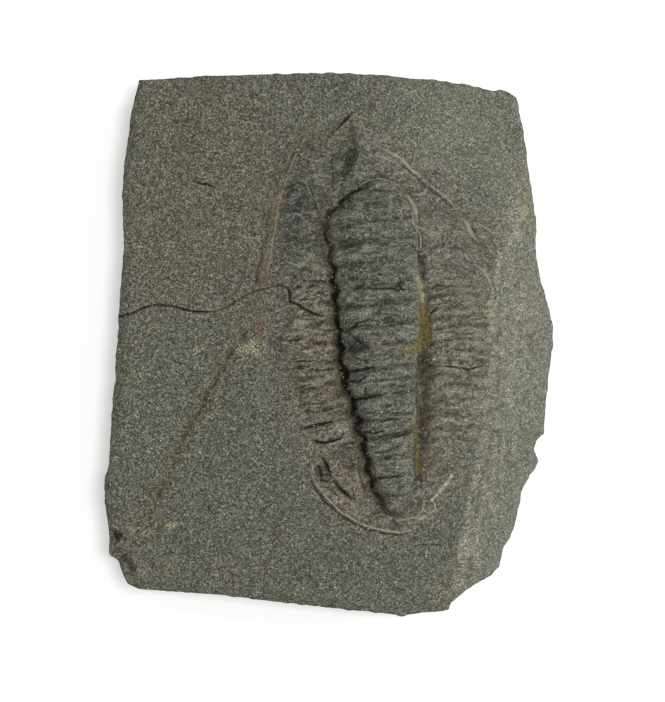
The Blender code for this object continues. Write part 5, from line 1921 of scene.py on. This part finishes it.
@dataclass(frozen=True)
class GrainScatter:
    """Grains set half into the stone wherever a mask allows, by Geometry Nodes."""

    name: str
    kind: GrainKind
    mask: str
    density: float
    size: float
    seed: int

    @staticmethod
    def tree() -> NodeTree:
        """Builds the tree that scatters grains.

        Returns:
            The tree, with inputs for density, size, seed, mask and material.
        """
        tree, given = new_growth("grains_in_stone", {
            "Density": "Float", "Size": "Float", "Seed": "Int", "Mask": "String", "Material": "Material",
        })
        normal = tree.add("GeometryNodeInputNormal").outputs[0]
        up = tree.add("ShaderNodeSeparateXYZ", None, Vector=normal).outputs["Z"]
        facing = tree.math("GREATER_THAN", up, -0.3)
        mask = tree.add("GeometryNodeInputNamedAttribute", {"data_type": "FLOAT"}, Name=given["Mask"])
        density = tree.math("MULTIPLY", tree.math("MULTIPLY", given["Density"], mask.outputs[0]), facing)
        spots = tree.add("GeometryNodeDistributePointsOnFaces", None, Mesh=given["Geometry"])
        tree.feed(spots, "Density", density)
        tree.feed(spots, "Seed", given["Seed"])
        return end_growth(tree, given, spots.outputs["Points"], 1, (0.45, 0.45, 0.45), (1.25, 1.25, 0.9))

    def build(self, stone: bpy.types.Object, tree: NodeTree) -> bpy.types.Object:
        """Scatters the grains over the stone.

        Args:
            stone: the finished stone, whose masks say where grains lie.
            tree: the tree that scatters them.

        Returns:
            The grains, as one plain mesh.
        """
        values = {
            "Density": self.density, "Size": self.size, "Seed": self.seed, "Mask": self.mask,
            "Material": self.kind.value.material(),
        }
        return grown(self.name, stone.data, tree, values)


def grown(name: str, mesh: bpy.types.Mesh, tree: NodeTree, values: dict) -> bpy.types.Object:
    """Runs a Geometry Nodes tree on a mesh and keeps its result as a plain mesh.

    Args:
        name: the piece's name.
        mesh: what the tree starts from.
        tree: the tree.
        values: its inputs by name.

    Returns:
        The piece, with no modifier left.
    """
    carrier = placed(name + "_carrier", mesh)
    modifier = carrier.modifiers.new("grow", "NODES")
    modifier.node_group = tree
    for item in tree.interface.items_tree:
        if item.in_out == "INPUT" and item.name in values:
            modifier[item.identifier] = values[item.name]
    bpy.context.view_layer.update()
    depsgraph = bpy.context.evaluated_depsgraph_get()
    result = bpy.data.meshes.new_from_object(carrier.evaluated_get(depsgraph), depsgraph=depsgraph)
    bpy.data.objects.remove(carrier, do_unlink=True)
    result.name = name
    return placed(name, result)


@dataclass(frozen=True)
class BeadRow:
    """A row of calcite beads along a line of the fossil, by Geometry Nodes."""

    name: str
    line: Points
    spacing: float
    size: float
    seed: int

    @staticmethod
    def tree() -> NodeTree:
        """Builds the tree that strings beads along a line.

        Returns:
            The tree, with inputs for spacing, size, seed and material.
        """
        tree, given = new_growth("beads_along_line", {
            "Spacing": "Float", "Size": "Float", "Seed": "Int", "Material": "Material",
        })
        curve = tree.add("GeometryNodeMeshToCurve", None, Mesh=given["Geometry"])
        spots = tree.add("GeometryNodeResampleCurve", {"mode": "LENGTH"}, Curve=curve.outputs[0])
        tree.feed(spots, "Length", given["Spacing"])
        shift = tree.random(given["Seed"], (-0.00007, -0.00007, -0.00005), (0.00007, 0.00007, 0.00001))
        moved = tree.add("GeometryNodeSetPosition", None, Geometry=spots.outputs[0], Offset=shift)
        return end_growth(tree, given, moved.outputs[0], 2, (0.6, 0.6, 0.5), (1.3, 1.1, 0.9))

    def build(self, slab: StoneSlab) -> bpy.types.Object:
        """Strings the beads on the stone.

        Args:
            slab: the stone that they lie on.

        Returns:
            The beads, as one plain mesh.
        """
        path = bpy.data.meshes.new(self.name + "_path")
        points = slab.surface(self.line)
        path.from_pydata(points, [(k, k + 1) for k in range(len(points) - 1)], [])
        values = {
            "Spacing": self.spacing, "Size": self.size, "Seed": self.seed,
            "Material": GrainKind.CALCITE.value.material(),
        }
        return grown(self.name, path, self.tree(), values)


@dataclass(frozen=True)
class Lamp:
    """A round lamp that looks at the middle: its power in watts, sizes in metres and angles in degrees."""

    name: str
    power: float
    size: float
    distance: float
    height: float
    side: float

    def hang(self) -> None:
        """Hangs the lamp at its height over the floor, turned from +X by its side angle."""
        lamp = bpy.data.lights.new(self.name, "AREA")
        lamp.shape = "DISK"
        lamp.size = self.size
        lamp.energy = self.power
        up, side = math.radians(self.height), math.radians(self.side)
        out, level = self.distance * math.cos(up), self.distance * math.sin(up)
        hung = placed(self.name, lamp)
        hung.location = (out * math.cos(side), out * math.sin(side), level)
        hung.rotation_euler = (0.0, math.pi / 2 - up, side)


@dataclass(frozen=True)
class Studio:
    """A pale floor, a high and a low lamp at the right and a camera that looks straight down."""

    floor_size: float = 3.0
    floor_colour: Colour = (0.75, 0.75, 0.75)
    floor_glow: float = 0.42
    key: Lamp = field(default_factory=lambda: Lamp("key", 1.6, 0.12, 0.6, 82.0, 6.0))
    rake: Lamp = field(default_factory=lambda: Lamp("rake", 0.76, 0.17, 0.5, 38.0, 14.0))
    sky: float = 0.40
    lens: float = 200.0
    sensor: float = 36.0
    px_size: float = 0.09
    px_tall: int = 702
    aim: Point = (0.25, -0.6)

    def floor(self) -> bpy.types.Object:
        """Lays the floor.

        Returns:
            The floor.
        """
        half = self.floor_size / 2
        mesh = bpy.data.meshes.new("floor")
        corners = [(-half, -half, 0), (half, -half, 0), (half, half, 0), (-half, half, 0)]
        mesh.from_pydata(corners, [], [(0, 1, 2, 3)])
        material, tree, shader = new_material("pale_floor", 0.9, 0.1)
        tree.feed(shader, "Base Color", (*self.floor_colour, 1.0))
        tree.feed(shader, "Emission Color", (1.0, 1.0, 1.0, 1.0))
        tree.feed(shader, "Emission Strength", self.floor_glow)
        mesh.materials.append(material)
        return placed("floor", mesh)

    def light(self) -> None:
        """Sets the key lamp, the low lamp and the even light all round."""
        self.key.hang()
        self.rake.hang()
        world = bpy.data.worlds.new("studio")
        world.use_nodes = True
        world.node_tree.nodes["Background"].inputs["Color"].default_value = (1.0, 1.0, 1.0, 1.0)
        world.node_tree.nodes["Background"].inputs["Strength"].default_value = self.sky
        bpy.context.scene.world = world
        bpy.context.scene.view_settings.view_transform = "Standard"

    def camera(self, level: float) -> None:
        """Sets the camera over the slab.

        Args:
            level: height of the split face, which the frame is measured at, mm.
        """
        data = bpy.data.cameras.new("camera")
        data.lens = self.lens
        data.sensor_width = self.sensor
        data.sensor_fit = "AUTO"
        data.clip_end = 10.0
        away = self.px_size * self.px_tall * self.lens / self.sensor
        camera = placed("camera", data)
        camera.location = (self.aim[0] * MM, self.aim[1] * MM, (level + away) * MM)
        bpy.context.scene.camera = camera


def report(piece: bpy.types.Object) -> None:
    """Logs one finished piece."""
    LOG.info("%s: %d points, %d faces", piece.name, len(piece.data.vertices), len(piece.data.polygons))


def main() -> None:
    """Builds the dressed fossil in order: stone, grains, beads, studio."""
    logging.basicConfig(level=logging.INFO, format="%(message)s")
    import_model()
    slab = StoneSlab()
    stone = slab.build()
    finish = StoneFinish().material(grain_group(), ragged_group(), thread_group(), wrinkle_group())
    stone.data.materials.append(finish)
    scatters = (
        GrainScatter("quartz_grains", GrainKind.QUARTZ, "all", 0.28e6, 0.00009, 3),
        GrainScatter("mica_grains", GrainKind.MICA, "all", 0.2e6, 0.00008, 4),
        GrainScatter("ochre_granules", GrainKind.OCHRE, Stain.OLIVE.value, 7.0e6, 0.00010, 5),
        GrainScatter("calcite_grains", GrainKind.CALCITE, Stain.PALE.value, 5.0e6, 0.00008, 6),
        GrainScatter("pale_flecks", GrainKind.FLECK, Stain.FLECK.value, 4.0e7, 0.00010, 8),
    )
    everywhere = stone.data.attributes.new("all", "FLOAT", "POINT")
    coarse = np.empty(len(stone.data.vertices), np.float32)
    stone.data.attributes[Stain.COOL.value].data.foreach_get("value", coarse)
    everywhere.data.foreach_set("value", 1.0 + COARSE_GRAINS * coarse)
    scatter_tree = GrainScatter.tree()
    pieces = [stone] + [scatter.build(stone, scatter_tree) for scatter in scatters]
    pieces.append(BeadRow("tail_beads", slab.tail.beads, 0.00024, 0.00017, 7).build(slab))
    for piece in pieces:
        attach(piece, BODY)
        report(piece)
    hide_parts(NODE)
    studio = Studio()
    studio.floor()
    studio.light()
    studio.camera(slab.face.level)


if __name__ == "__main__":
    main()
